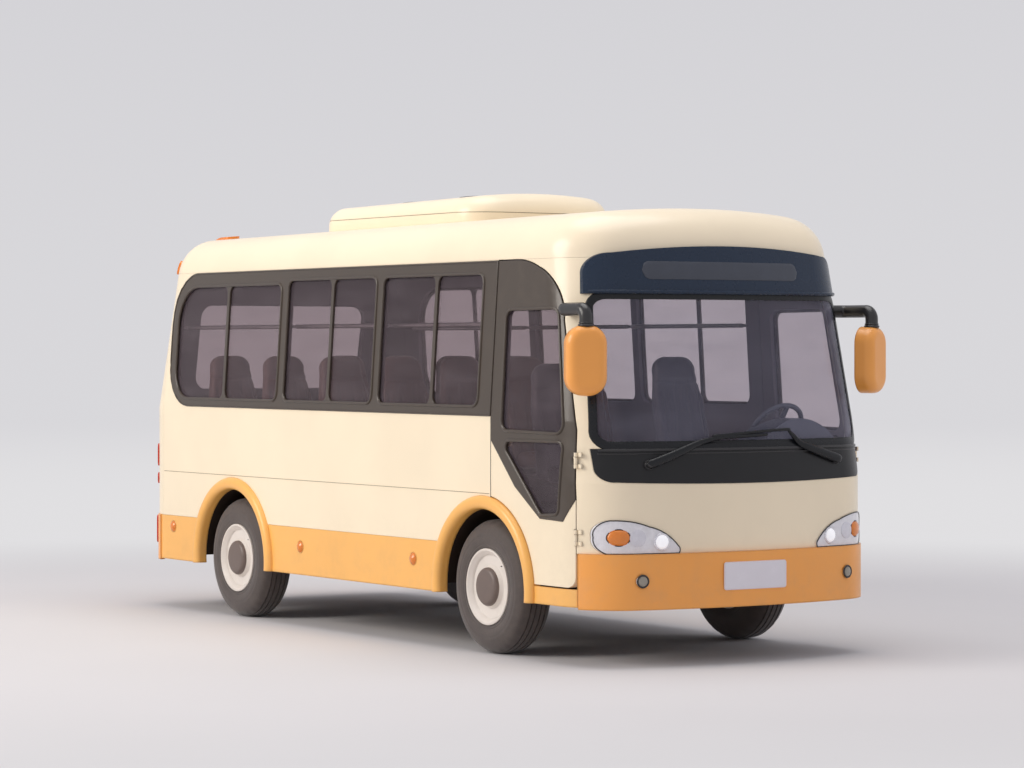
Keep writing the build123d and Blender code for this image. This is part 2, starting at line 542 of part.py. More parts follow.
# ---------------------------------------------------------------- wipers
WIPER_R = 9.0
WIPER_LIFT = 14.0         # the arm and blade lie this far off the glass
PIVOT_Y, PIVOT_Z = 671.0, 1167.0
# outline of arm and blade as seen from the front, for the pivot on each side: (y, z) of elbow and blade ends
WIPERS = (((671, 1167), (330, 1330), (120, 1315), (640, 1345)),
          ((-671, 1167), (-360, 1330), (-560, 1345), (-60, 1315)))
wiper_skin = Pos(WIPER_LIFT, 0, 0) * body_form(0) - body_form(-BAND_PROUD)


def tapered_bar(start, start_r, end, end_r):
    """Flat outline of a bar with round ends."""
    return make_hull((Pos(*start) * Circle(start_r)).edges() + (Pos(*end) * Circle(end_r)).edges())


wipers = []
for pivot, elbow, blade_a, blade_b in WIPERS:
    outline = tapered_bar(pivot, 11, elbow, 7) + tapered_bar(blade_a, 7, blade_b, 7) + Pos(*pivot) * Circle(24)
    wipers.append(wiper_skin & front_prism(outline, 2300, FAR))
add("wipers", *wipers)

# ---------------------------------------------------------------- dashboard and steering
DASH_TOP_Z = 1270.0
dash_foot_z = FLOOR_Z + FLOOR_T
dash_rear = (2520, dash_foot_z), (2520, 1080), (2440, 1160), (2440, 1240), (2470, DASH_TOP_Z)
dash_face = make_face(Polyline(*dash_rear, (2900, DASH_TOP_Z - 30), (2900, dash_foot_z), close=True))
dash = extrude(Plane.XZ.offset(-900) * dash_face, 1800) & body_form(WALL + 15)
WHEEL_AT = Vector(2480, 470, 1335)
WHEEL_TILT = 35.0         # steering column above the level
STEERING_R, STEERING_GRIP = 190.0, 15.0
HUB_R, HUB_DEPTH = 45.0, 55.0
SPOKE_LIFT, SPOKE_W, SPOKE_T = 12.0, 30.0, 14.0
DASH_CLEAR = 12.0         # between the turning wheel and the dashboard
COLUMN_R, COLUMN_L = 32.0, 200.0
BINNACLE_HALF_W, BINNACLE_TOP_Z, BINNACLE_X = 300.0, 1405.0, 2500.0
axis_dir = Vector(cos(radians(WHEEL_TILT)), 0, -sin(radians(WHEEL_TILT)))
wheel_plane = Plane(WHEEL_AT, x_dir=(0, 1, 0), z_dir=axis_dir)
arch_side = (WHEEL_AT.Y - BINNACLE_HALF_W, DASH_TOP_Z), (WHEEL_AT.Y + BINNACLE_HALF_W, DASH_TOP_Z)
hood = ThreePointArc(arch_side[0], (WHEEL_AT.Y, BINNACLE_TOP_Z), arch_side[1])
hood_foot = Polyline(arch_side[1], (arch_side[1][0], 1150), (arch_side[0][0], 1150), arch_side[0])
binnacle = extrude(Plane.YZ.offset(BINNACLE_X) * make_face(hood + hood_foot), 400)
dash += binnacle & body_form(WALL + 15)
face_depth = SPOKE_LIFT + SPOKE_T / 2 + DASH_CLEAR
dash -= extrude(wheel_plane * Circle(STEERING_R + DASH_CLEAR), face_depth) + extrude(wheel_plane * Circle(STEERING_R + DASH_CLEAR), -400)
dash -= extrude(wheel_plane * Circle(HUB_R + DASH_CLEAR), HUB_DEPTH)
dash += extrude(wheel_plane.offset(HUB_DEPTH) * Circle(COLUMN_R), COLUMN_L)
dash = clear_doors(dash)
add("dashboard", dash)
steer = wheel_plane * Torus(STEERING_R - STEERING_GRIP, STEERING_GRIP)
steer += wheel_plane * Pos(0, 0, HUB_DEPTH / 2) * Cylinder(HUB_R, HUB_DEPTH - 2 * RUN_GAP)
spoke_l = STEERING_R - STEERING_GRIP
for spoke in (90, 210, 330):
    steer += wheel_plane * Rot(0, 0, spoke) * Pos(spoke_l / 2, 0, SPOKE_LIFT) * Box(spoke_l, SPOKE_W, SPOKE_T)
add("steering_wheel", steer)

# ---------------------------------------------------------------- seats and guard rails
SEAT_W, CUSHION_L, CUSHION_T, CUSHION_Z = 420.0, 440.0, 110.0, 1150.0
BACK_T, BACK_H, HEADREST_H, HEADREST_W = 105.0, 590.0, 180.0, 300.0
BACK_TILT = 12.0
SEAT_CORNER_R = 45.0
FOOT_INSET = 60.0


def seat(x, y, foot_z, lift, foot_w):
    """Seat with cushion, back, headrest and pedestal; x is the root of the back."""
    cushion_z = CUSHION_Z + lift
    cushion_face = rounded_rect(x, x + CUSHION_L, cushion_z - CUSHION_T, cushion_z, SEAT_CORNER_R)
    cushion = side_prism(cushion_face, -SEAT_W / 2, SEAT_W / 2)
    half, head_half = SEAT_W / 2, HEADREST_W / 2
    back = front_prism(rounded_rect(-half, half, 0, BACK_H, SEAT_CORNER_R), -BACK_T, 0)
    back += front_prism(rounded_rect(-head_half, head_half, BACK_H - SEAT_CORNER_R, BACK_H + HEADREST_H, SEAT_CORNER_R), -BACK_T + 10, -5)
    upright = Pos(x + 20, 0, cushion_z - CUSHION_T + 10) * Rot(0, -BACK_TILT, 0) * back
    foot = block(x + FOOT_INSET, x + CUSHION_L - FOOT_INSET, -foot_w / 2, foot_w / 2, foot_z, cushion_z - CUSHION_T + 30)
    return Pos(0, y, 0) * (cushion + upright + foot)


FLOOR_TOP_Z = FLOOR_Z + FLOOR_T
SEAT_ROW_X = (250.0, -520.0, -1290.0, -2060.0)
SEAT_ROW_Y = (-690.0, 690.0, 245.0)
carriers = (NODES["floor"], NODES["engine_cover"], NODES["wheel_housings"])


def standing(shape):
    """A seat cut back to what it stands on."""
    for carrier in carriers:
        shape = shape - carrier
    return shape.solids().sort_by(SortBy.VOLUME)[-1]


add("driver_seat", standing(seat(1640, 450, 900, 0, 260)))
riders = []
wheel_space = across(ARCHES[1][0], ARCH_Z, ARCH_R + TUB_T, -FAR, FAR) - block(-FAR, FAR, -REAR_TUB_Y + TUB_T, REAR_TUB_Y - TUB_T, 0, FAR)
for x in SEAT_ROW_X:
    for y in SEAT_ROW_Y:
        riders.append(standing(seat(x, y, FLOOR_TOP_Z - 40, 0, 240) - wheel_space))
riders.append(standing(seat(1640, -450, 900, -40, 260)))
add("passenger_seats", *riders)

RAIL_R, RAIL_TAB = 14.0, 9.0
rail_z = 1960.0
rails = []
for x0, x1, top, _ in SIDE_WINDOWS:
    y = HALF_WIDTH - SIDE_LEAN * (rail_z - BELT_Z) - WALL - 35
    bar = Pos((x0 + x1) / 2, y, rail_z) * Rot(0, 90, 0) * Cylinder(RAIL_R, x1 - x0 + 2 * RAIL_R)
    for x in (x0 - 0.5 * RAIL_R, x1 + 0.5 * RAIL_R):
        bar += block(x - RAIL_TAB, x + RAIL_TAB, y, y + 80, rail_z - RAIL_TAB, rail_z + RAIL_TAB) & cabin
    rails += both_sides(bar)
add("guard_rails", *rails)

# ---------------------------------------------------------------- ladder frame
RAIL_Y, RAIL_H, RAIL_FLANGE, RAIL_T = 400.0, 150.0, 65.0, 8.0
RAIL_X0, RAIL_X1 = -2780.0, 2760.0
RAIL_Z = FLOOR_Z - RAIL_H
channel = block(RAIL_X0, RAIL_X1, RAIL_Y - RAIL_FLANGE, RAIL_Y, RAIL_Z, FLOOR_Z)
channel -= block(RAIL_X0, RAIL_X1, RAIL_Y - RAIL_FLANGE, RAIL_Y - RAIL_T, RAIL_Z + RAIL_T, FLOOR_Z - RAIL_T)
rails_solid = channel
CROSS_X = (-2700.0, -2050.0, -1050.0, -100.0, 760.0, 2300.0, 2680.0)
OUTRIGGER_X = (-1050.0, -100.0, 760.0)
CROSS_W, CROSS_H = 70.0, 110.0
inner_y = RAIL_Y - RAIL_T
members = []
for x in CROSS_X:
    member = block(x - CROSS_W / 2, x + CROSS_W / 2, -inner_y, inner_y, RAIL_Z + RAIL_T, RAIL_Z + RAIL_T + CROSS_H)
    member -= block(x - CROSS_W / 2 + RAIL_T, x + CROSS_W / 2 - RAIL_T, -inner_y, inner_y, RAIL_Z, RAIL_Z + CROSS_H)
    members.append(member)
for x in OUTRIGGER_X:
    members += both_sides(block(x - CROSS_W / 2, x + CROSS_W / 2, RAIL_Y, HALF_WIDTH - 150, FLOOR_Z - 60, FLOOR_Z))
# bumper brackets reach the skins that they carry
bracket_space = Pos(25 - BUMPER_PROUD, 0, 0) * body_form(SKIRT_T)
rails_solid += block(RAIL_X1 - 40, FAR, RAIL_Y - 60, RAIL_Y, RAIL_Z, RAIL_Z + 90) & bracket_space
rails_solid += block(-FAR, RAIL_X0 + 40, RAIL_Y - 60, RAIL_Y, RAIL_Z, RAIL_Z + 90) & body_form(SKIRT_T)

# ---------------------------------------------------------------- springs and axles
AXLE_Z = TYRE_R
SPRING_Y, SPRING_W, LEAF_T = 400.0, 60.0, 10.0
FRONT_SPRING_L, REAR_SPRING_L = 1100.0, 1200.0
SPRING_SAG = 55.0
SPRING_SEAT_Z = AXLE_Z + 62.0
EYE_R = 24.0
HANGER_HALF, HANGER_OUT = 30.0, 35.0


def leaf_pack(x, length):
    """Stepped pack of leaves, curved down at the middle, with an eye at each end."""
    radius = (length ** 2 / 4 + SPRING_SAG ** 2) / (2 * SPRING_SAG)
    low = SPRING_SEAT_Z
    pack = Part()
    for i, share in enumerate((1.0, 0.76, 0.52, 0.3)):
        half = length * share / 2
        z_top = low + (4 - i) * LEAF_T
        centre = z_top + radius
        rise = radius - sqrt(radius ** 2 - half ** 2)
        top = ThreePointArc((-half, z_top + rise), (0, z_top), (half, z_top + rise))
        bottom = ThreePointArc((half, z_top + rise - LEAF_T), (0, z_top - LEAF_T), (-half, z_top + rise - LEAF_T))
        leaf = make_face(top + Line(top @ 1, bottom @ 0) + bottom + Line(bottom @ 1, top @ 0))
        pack += extrude(Plane.XZ.offset(-SPRING_W / 2) * leaf, SPRING_W)
    rise = SPRING_SAG
    for end in (-1, 1):
        eye = across(end * length / 2, low + 4 * LEAF_T + rise - LEAF_T / 2, EYE_R, -SPRING_W / 2, SPRING_W / 2)
        pack += eye
    return Pos(x, SPRING_Y, 0) * pack


springs = []
SPRINGS = ((FRONT_AXLE_X, FRONT_SPRING_L), (REAR_AXLE_X, REAR_SPRING_L))
eye_z = SPRING_SEAT_Z + 4 * LEAF_T + SPRING_SAG - LEAF_T / 2
for x, length in SPRINGS:
    pack = leaf_pack(x, length)
    springs += both_sides(pack)
    for end in (-1, 1):
        x0, x1 = x + end * length / 2 - HANGER_HALF, x + end * length / 2 + HANGER_HALF
        hanger = block(x0, x1, RAIL_Y - RAIL_FLANGE, RAIL_Y + HANGER_OUT, eye_z - 20, RAIL_Z)
        hanger += block(x0, x1, RAIL_Y, RAIL_Y + HANGER_OUT, RAIL_Z, FLOOR_Z - 30)
        rails_solid += hanger
    rails_solid -= pack
add("leaf_springs", *springs)

BEAM_H, BEAM_W = 70.0, 60.0
KINGPIN_Y = WHEEL_Y - KINGPIN_IN
beam_path = Polyline((-KINGPIN_Y, AXLE_Z), (-KINGPIN_Y + 120, AXLE_Z - 5), (-560, SPRING_SEAT_Z - BEAM_H / 2), (-330, SPRING_SEAT_Z - BEAM_H / 2), (-200, AXLE_Z - 70), (200, AXLE_Z - 70),
                     (330, SPRING_SEAT_Z - BEAM_H / 2), (560, SPRING_SEAT_Z - BEAM_H / 2), (KINGPIN_Y - 120, AXLE_Z - 5), (KINGPIN_Y, AXLE_Z))
upper = [(p[0], p[1] + BEAM_H / 2) for p in ((-KINGPIN_Y, AXLE_Z), (-560, SPRING_SEAT_Z - BEAM_H / 2), (-330, SPRING_SEAT_Z - BEAM_H / 2), (-200, AXLE_Z - 70))]
upper += [(-y, z) for y, z in reversed(upper)]
lower = [(y, z - BEAM_H) for y, z in reversed(upper)]
beam = Pos(FRONT_AXLE_X, 0, 0) * front_prism(make_face(Polyline(*upper, *lower, close=True)), -BEAM_W / 2, BEAM_W / 2)
PIN_R, BOSS_R, BOSS_H = 16.0, 34.0, 84.0
for side in (1, -1):
    boss = Pos(FRONT_AXLE_X, side * KINGPIN_Y, AXLE_Z) * Cylinder(BOSS_R, BOSS_H)
    bore = Pos(FRONT_AXLE_X, side * KINGPIN_Y, AXLE_Z) * Cylinder(PIN_R + RUN_GAP, BOSS_H + 60)
    beam = beam + boss - bore
add("front_axle", beam)

# ---------------------------------------------------------------- knuckles and track rod
YOKE_T, YOKE_GAP = 22.0, 2.0
HUB_R, HUB_FACE_Y = 48.0, WHEEL_Y + 55.0
DRUM_R, DRUM_W = 165.0, 55.0
DRUM_Y = WHEEL_Y - 28.0
STEER_ARM = 125.0
ROD_Z, ROD_R = AXLE_Z - BOSS_H / 2 - YOKE_GAP - YOKE_T - 26.0, 15.0


def knuckle():
    """Left steering knuckle: pin, yoke, drum backing, hub spindle and steering arm."""
    piece = Pos(0, KINGPIN_Y, AXLE_Z) * Cylinder(PIN_R, BOSS_H + 2 * (YOKE_GAP + YOKE_T))
    for end in (1, -1):
        z = AXLE_Z + end * (BOSS_H / 2 + YOKE_GAP + YOKE_T / 2)
        piece += Pos(0, KINGPIN_Y, z) * Cylinder(BOSS_R, YOKE_T)
        piece += block(-BOSS_R, BOSS_R, KINGPIN_Y, DRUM_Y, z - YOKE_T / 2, z + YOKE_T / 2)
    piece += across(0, AXLE_Z, DRUM_R, DRUM_Y - 8, DRUM_Y + DRUM_W)
    piece += across(0, AXLE_Z, HUB_R, DRUM_Y, HUB_FACE_Y + 20)
    low = AXLE_Z - BOSS_H / 2 - YOKE_GAP - YOKE_T
    arm_solid = block(-STEER_ARM - 22, BOSS_R - 5, KINGPIN_Y - 22, KINGPIN_Y + 22, low - 0.0, low + YOKE_T)
    arm_solid += Pos(-STEER_ARM, KINGPIN_Y, low + YOKE_T / 2) * Cylinder(26, YOKE_T)
    piece += arm_solid
    piece += Pos(-STEER_ARM, KINGPIN_Y, (low + ROD_Z) / 2) * Cylinder(9, low - ROD_Z + 2 * ROD_R)
    return Pos(FRONT_AXLE_X, 0, 0) * piece


left_knuckle = knuckle()
rod_x = FRONT_AXLE_X - STEER_ARM
rod = across(rod_x, ROD_Z, ROD_R, -KINGPIN_Y, KINGPIN_Y)
for side in (1, -1):
    rod += Pos(rod_x, side * KINGPIN_Y, ROD_Z) * Cylinder(24, 36)
for side in (1, -1):
    rod -= Pos(rod_x, side * KINGPIN_Y, ROD_Z) * Cylinder(9 + RUN_GAP, 200)
add("track_rod", rod)
add("knuckle_left", left_knuckle)
add("knuckle_right", mirror(left_knuckle, about=Plane.XZ))

# ---------------------------------------------------------------- rear axle
AXLE_R, DIFF_R = 50.0, 150.0
rear_axle = across(0, AXLE_Z, AXLE_R, -DRUM_Y, DRUM_Y)
banjo = Rot(0, 90, 0) * Cylinder(DIFF_R, 200)
rear_axle += Pos(0, 0, AXLE_Z) * chamfer(banjo.edges().filter_by(GeomType.CIRCLE), 55)
rear_axle += Pos(170, 0, AXLE_Z) * Rot(0, 90, 0) * Cone(75, 45, 190)
for side in (1, -1):
    rear_axle += across(0, AXLE_Z, DRUM_R, side * (DRUM_Y - 8), side * (DRUM_Y + DRUM_W))
    rear_axle += across(0, AXLE_Z, HUB_R, side * DRUM_Y, side * (HUB_FACE_Y + 20))
    rear_axle += block(-55, 55, side * (SPRING_Y - 40), side * (SPRING_Y + 40), AXLE_Z, SPRING_SEAT_Z)
add("rear_axle", Pos(REAR_AXLE_X, 0, 0) * rear_axle)

# ---------------------------------------------------------------- wheels
CAP_R, CAP_PROUD = 111.0, 10.0
half_w = TYRE_W / 2


def wheel(x, y):
    """Tyre and rim of one wheel, the outer face towards +Y when y is positive."""
    bead_r, flange_t = RIM_R - 20, 10.0
    out = half_w
    tyre_face = make_face(Polyline((bead_r, -out + 15), (bead_r, out - 15), (RIM_R, out - 12)) +
                          ThreePointArc((RIM_R, out - 12), (RIM_R + 75, out), (TYRE_R - 55, out - 9)) +
                          ThreePointArc((TYRE_R - 55, out - 9), (TYRE_R - 16, out - 36), (TYRE_R - 3, out - 75)) +
                          ThreePointArc((TYRE_R - 3, out - 75), (TYRE_R, 0), (TYRE_R - 3, -out + 75)) +
                          ThreePointArc((TYRE_R - 3, -out + 75), (TYRE_R - 16, -out + 36), (TYRE_R - 55, -out + 9)) +
                          ThreePointArc((TYRE_R - 55, -out + 9), (RIM_R + 75, -out), (RIM_R, -out + 12)) +
                          Line((RIM_R, -out + 12), (bead_r, -out + 15)))
    tyre = revolve(tyre_face, Axis.Y, 360)
    disc_y = HUB_FACE_Y - WHEEL_Y
    rim_face = make_face(Polyline((bead_r, -out + 15), (bead_r, out - 15), (RIM_R, out - 12), (RIM_R, out - 2), (RIM_R - 12, out),
                                  (bead_r - 14, out - 22), (bead_r - 20, disc_y + 30), (CAP_R + 20, disc_y + 26), (CAP_R + 4, out - 14),
                                  (CAP_R, out + CAP_PROUD - 12), (CAP_R - 14, out + CAP_PROUD), (0, out + CAP_PROUD),
                                  (0, disc_y + 21), (HUB_R + RUN_GAP, disc_y + 21), (HUB_R + RUN_GAP, disc_y + RUN_GAP),
                                  (bead_r - 40, disc_y + RUN_GAP), (bead_r - 10, disc_y - 20), (bead_r - 10, -out + 15), close=True))
    rim = revolve(rim_face, Axis.Y, 360)
    if y < 0:
        tyre, rim = mirror(tyre, about=Plane.XZ), mirror(rim, about=Plane.XZ)
    at = Pos(x, y, AXLE_Z)
    return at * tyre, at * rim


for axle, x in (("front", FRONT_AXLE_X), ("rear", REAR_AXLE_X)):
    for side, y in (("left", WHEEL_Y), ("right", -WHEEL_Y)):
        tyre, rim = wheel(x, y)
        add(f"tyre_{axle}_{side}", tyre)
        add(f"rim_{axle}_{side}", rim)

# ---------------------------------------------------------------- power train
engine = block(ENGINE_X - ENGINE_L / 2, ENGINE_X + ENGINE_L / 2, -ENGINE_W / 2, ENGINE_W / 2, ENGINE_Z0, ENGINE_Z1)
for side in (1, -1):
    engine += block(ENGINE_X - 60, ENGINE_X + 60, side * ENGINE_W / 2, side * (RAIL_Y - RAIL_T), RAIL_Z + 30, RAIL_Z + 80)
add("engine", engine)

SHAFT_R = 38.0
shaft_rear = Vector(REAR_AXLE_X + 265, 0, AXLE_Z)
shaft_front = Vector(ENGINE_X - ENGINE_L / 2, 0, ENGINE_Z0 + 30)
shaft_plane = Plane(shaft_rear, z_dir=shaft_front - shaft_rear)
shaft = extrude(shaft_plane * Circle(SHAFT_R), (shaft_front - shaft_rear).length)
shaft += shaft_plane * Pos(0, 0, 40) * Cylinder(55, 50)
add("propshaft", shaft - engine - NODES["rear_axle"])

TANK_X0, TANK_X1 = -850.0, -180.0
tank = block(TANK_X0, TANK_X1, RAIL_Y + 12, RAIL_Y + 372, RAIL_Z - 120, FLOOR_Z - 62)
tank = fillet(tank.edges().filter_by(Axis.X), 45)
add("fuel_tank", tank)
pipe_path = FilletPolyline((ENGINE_X - ENGINE_L / 2, -150, 500), (300, -150, 480), (300, -560, 480), (-1000, -560, 480), radius=90)
pipe = sweep(Plane(pipe_path @ 0, z_dir=pipe_path % 0) * Circle(28), pipe_path)
silencer = Pos(-300, -560, 480) * Rot(0, 90, 0) * Cylinder(95, 620)
add("exhaust", pipe + silencer - engine)
# towing eyes: a level plate with an upright bore, hung from the foot of each rail
EYE_X, EYE_BORE_R, EYE_PLATE_T, EYE_DROP, EYE_HALF = -2710.0, 20.0, 25.0, 80.0, 50.0
eye_y = RAIL_Y - EYE_PLATE_T - EYE_HALF
eye_z0 = RAIL_Z - EYE_DROP
towing = block(EYE_X - EYE_HALF, EYE_X + EYE_HALF, RAIL_Y - EYE_PLATE_T, RAIL_Y, eye_z0, RAIL_Z)
towing += block(EYE_X - EYE_HALF, EYE_X + EYE_HALF, eye_y, RAIL_Y, eye_z0, eye_z0 + EYE_PLATE_T)
towing += Pos(EYE_X, eye_y, eye_z0 + EYE_PLATE_T / 2) * Cylinder(EYE_HALF, EYE_PLATE_T)
towing -= Pos(EYE_X, eye_y, eye_z0 + EYE_PLATE_T / 2) * Cylinder(EYE_BORE_R, 2 * EYE_PLATE_T)
rails_solid += towing
tank_ties = []
for x in (TANK_X0 + 120, TANK_X1 - 120):
    tank_ties.append(block(x - 25, x + 25, RAIL_Y, RAIL_Y + 12, RAIL_Z + 10, FLOOR_Z - 70))
add("frame_rails", *both_sides(rails_solid))
add("cross_members", *members, *tank_ties)

os.makedirs("parts", exist_ok=True)
for name, shape in NODES.items():
    export_step(shape, f"parts/{name}.step")
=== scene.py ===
"""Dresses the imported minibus: paint, glass, lamps, seals, seats and a plain studio."""

import json
import math

import bmesh
import bpy
from mathutils import Matrix, Vector
from mathutils.bvhtree import BVHTree


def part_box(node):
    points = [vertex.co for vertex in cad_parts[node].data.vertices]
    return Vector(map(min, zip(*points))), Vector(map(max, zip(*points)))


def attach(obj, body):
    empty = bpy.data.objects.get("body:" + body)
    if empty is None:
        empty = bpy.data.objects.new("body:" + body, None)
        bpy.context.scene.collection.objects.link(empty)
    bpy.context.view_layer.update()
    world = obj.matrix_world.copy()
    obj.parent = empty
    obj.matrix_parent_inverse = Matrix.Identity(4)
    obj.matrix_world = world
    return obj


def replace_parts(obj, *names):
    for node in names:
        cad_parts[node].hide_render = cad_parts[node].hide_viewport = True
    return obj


bl_info = {
    "name": "Minibus dressing",
    "version": (1, 0, 0),
    "blender": (4, 5, 0),
    "location": "3D View > Sidebar > Minibus",
    "description": "Finishes, seals, lamps, wipers and seats for the packed minibus",
    "category": "Object",
}

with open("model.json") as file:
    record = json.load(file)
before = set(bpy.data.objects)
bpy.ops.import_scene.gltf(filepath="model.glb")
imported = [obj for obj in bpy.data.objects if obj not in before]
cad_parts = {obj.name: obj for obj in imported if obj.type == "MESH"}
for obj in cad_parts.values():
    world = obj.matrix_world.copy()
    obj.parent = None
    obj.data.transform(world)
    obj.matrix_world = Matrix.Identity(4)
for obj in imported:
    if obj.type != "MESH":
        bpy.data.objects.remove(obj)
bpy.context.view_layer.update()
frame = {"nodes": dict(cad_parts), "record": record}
NODES = frame["nodes"]
SIDES = (("left", 1), ("right", -1))


# ------------------------------------------------------------------ settings
class PaintSettings(bpy.types.PropertyGroup):
    """Colours of the bodywork."""

    cream: bpy.props.FloatVectorProperty(
        name="Cream", description="Upper body paint", subtype="COLOR", default=(0.93, 0.80, 0.59)
    )
    # The two oranges are one paint in two copies: the deeper orange of the bumpers and mirrors is painted
    # shade of the front and rear faces, the paler orange of the skirts and arch trims is painted light on the
    # sides that the key lamp lights.
    orange: bpy.props.FloatVectorProperty(
        name="Orange", description="Bumper and mirror paint", subtype="COLOR", default=(0.94, 0.390, 0.078)
    )
    faded: bpy.props.FloatVectorProperty(
        name="Lit side orange", description="Skirt and arch paint, paler as painted light on the lit sides", subtype="COLOR",
        default=(0.94, 0.488, 0.118)
    )
    surround: bpy.props.FloatVectorProperty(
        name="Window surround", description="Dark band round the windows", subtype="COLOR",
        default=(0.054, 0.038, 0.025)
    )
    flake_size: bpy.props.FloatProperty(
        name="Ripple", description="Width of the slow ripple in sprayed paint", default=0.03, min=0.002,
        unit="LENGTH"
    )


class GlassSettings(bpy.types.PropertyGroup):
    """Tint of the panes."""

    tint: bpy.props.FloatVectorProperty(
        name="Tint", description="Light that one face of a pane lets through", subtype="COLOR",
        default=(0.815, 0.77, 0.78)
    )
    haze: bpy.props.FloatProperty(
        name="Haze", description="Share of a pane that shows its own colour", subtype="FACTOR",
        default=0.095, min=0, max=1
    )


class SeatSettings(bpy.types.PropertyGroup):
    """Padding of the seats."""

    pressure: bpy.props.FloatProperty(
        name="Pressure", description="How hard the padding pushes on its cover", default=4.0, min=0
    )
    voxel: bpy.props.FloatProperty(
        name="Voxel", description="Mesh size before the cover is inflated", default=0.012, min=0.004,
        unit="LENGTH"
    )
    swell: bpy.props.FloatProperty(
        name="Swell", description="Furthest that a cover may move", default=0.016, min=0, unit="LENGTH"
    )
    cover: bpy.props.FloatVectorProperty(
        name="Cover", description="Seat cover", subtype="COLOR", default=(0.16, 0.065, 0.045)
    )


class SealSettings(bpy.types.PropertyGroup):
    """Rubber round the panes."""

    radius: bpy.props.FloatProperty(
        name="Seal radius", description="Radius of the window seals", default=0.010, min=0.001,
        unit="LENGTH"
    )
    # the shut line is a strip of darker cream that stands for the shade in the groove between panels: painted
    # shade
    shut_line: bpy.props.FloatProperty(
        name="Shut line", description="Radius of the dark line between panels", default=0.0022,
        min=0.0005, unit="LENGTH"
    )


class StudioSettings(bpy.types.PropertyGroup):
    """Floor, backdrop and lamps."""

    floor: bpy.props.FloatVectorProperty(
        name="Floor", description="Floor under the vehicle", subtype="COLOR", default=(0.67, 0.655, 0.665)
    )
    key: bpy.props.FloatProperty(
        name="Key light", description="Power of the large soft lamp", default=1500.0, min=0, unit="POWER"
    )
    world: bpy.props.FloatProperty(
        name="Sky", description="Strength of the even light from all round", default=0.65, min=0
    )
    focal: bpy.props.FloatProperty(
        name="Focal length", description="Camera lens", default=111.36, min=1, unit="CAMERA"
    )


# ------------------------------------------------------------------ shader maths
class Value:
    """A socket in a node tree. Arithmetic on it adds Math nodes."""

    def __init__(self, finish, socket):
        self.finish = finish
        self.socket = socket

    def __add__(self, other):
        return self.finish.math("ADD", self, other)

    def __radd__(self, other):
        return self.finish.math("ADD", other, self)

    def __sub__(self, other):
        return self.finish.math("SUBTRACT", self, other)

    def __rsub__(self, other):
        return self.finish.math("SUBTRACT", other, self)

    def __mul__(self, other):
        return self.finish.math("MULTIPLY", self, other)

    def __rmul__(self, other):
        return self.finish.math("MULTIPLY", other, self)

    def __pow__(self, other):
        return self.finish.math("POWER", self, other)

    def wave(self):
        return self.finish.math("SINE", self)

    def within(self, low, high):
        """0 below low, 1 above high and smooth between them."""
        values = {"Value": self, "From Min": low, "From Max": high}
        return self.finish.node("ShaderNodeMapRange", {"interpolation_type": "SMOOTHSTEP"}, values)


# two corners of the space in the middle of the cabin that the lining looks towards
CABIN_LOW, CABIN_HIGH = (-2.1, -0.55, 1.45), (2.1, 0.55, 1.9)


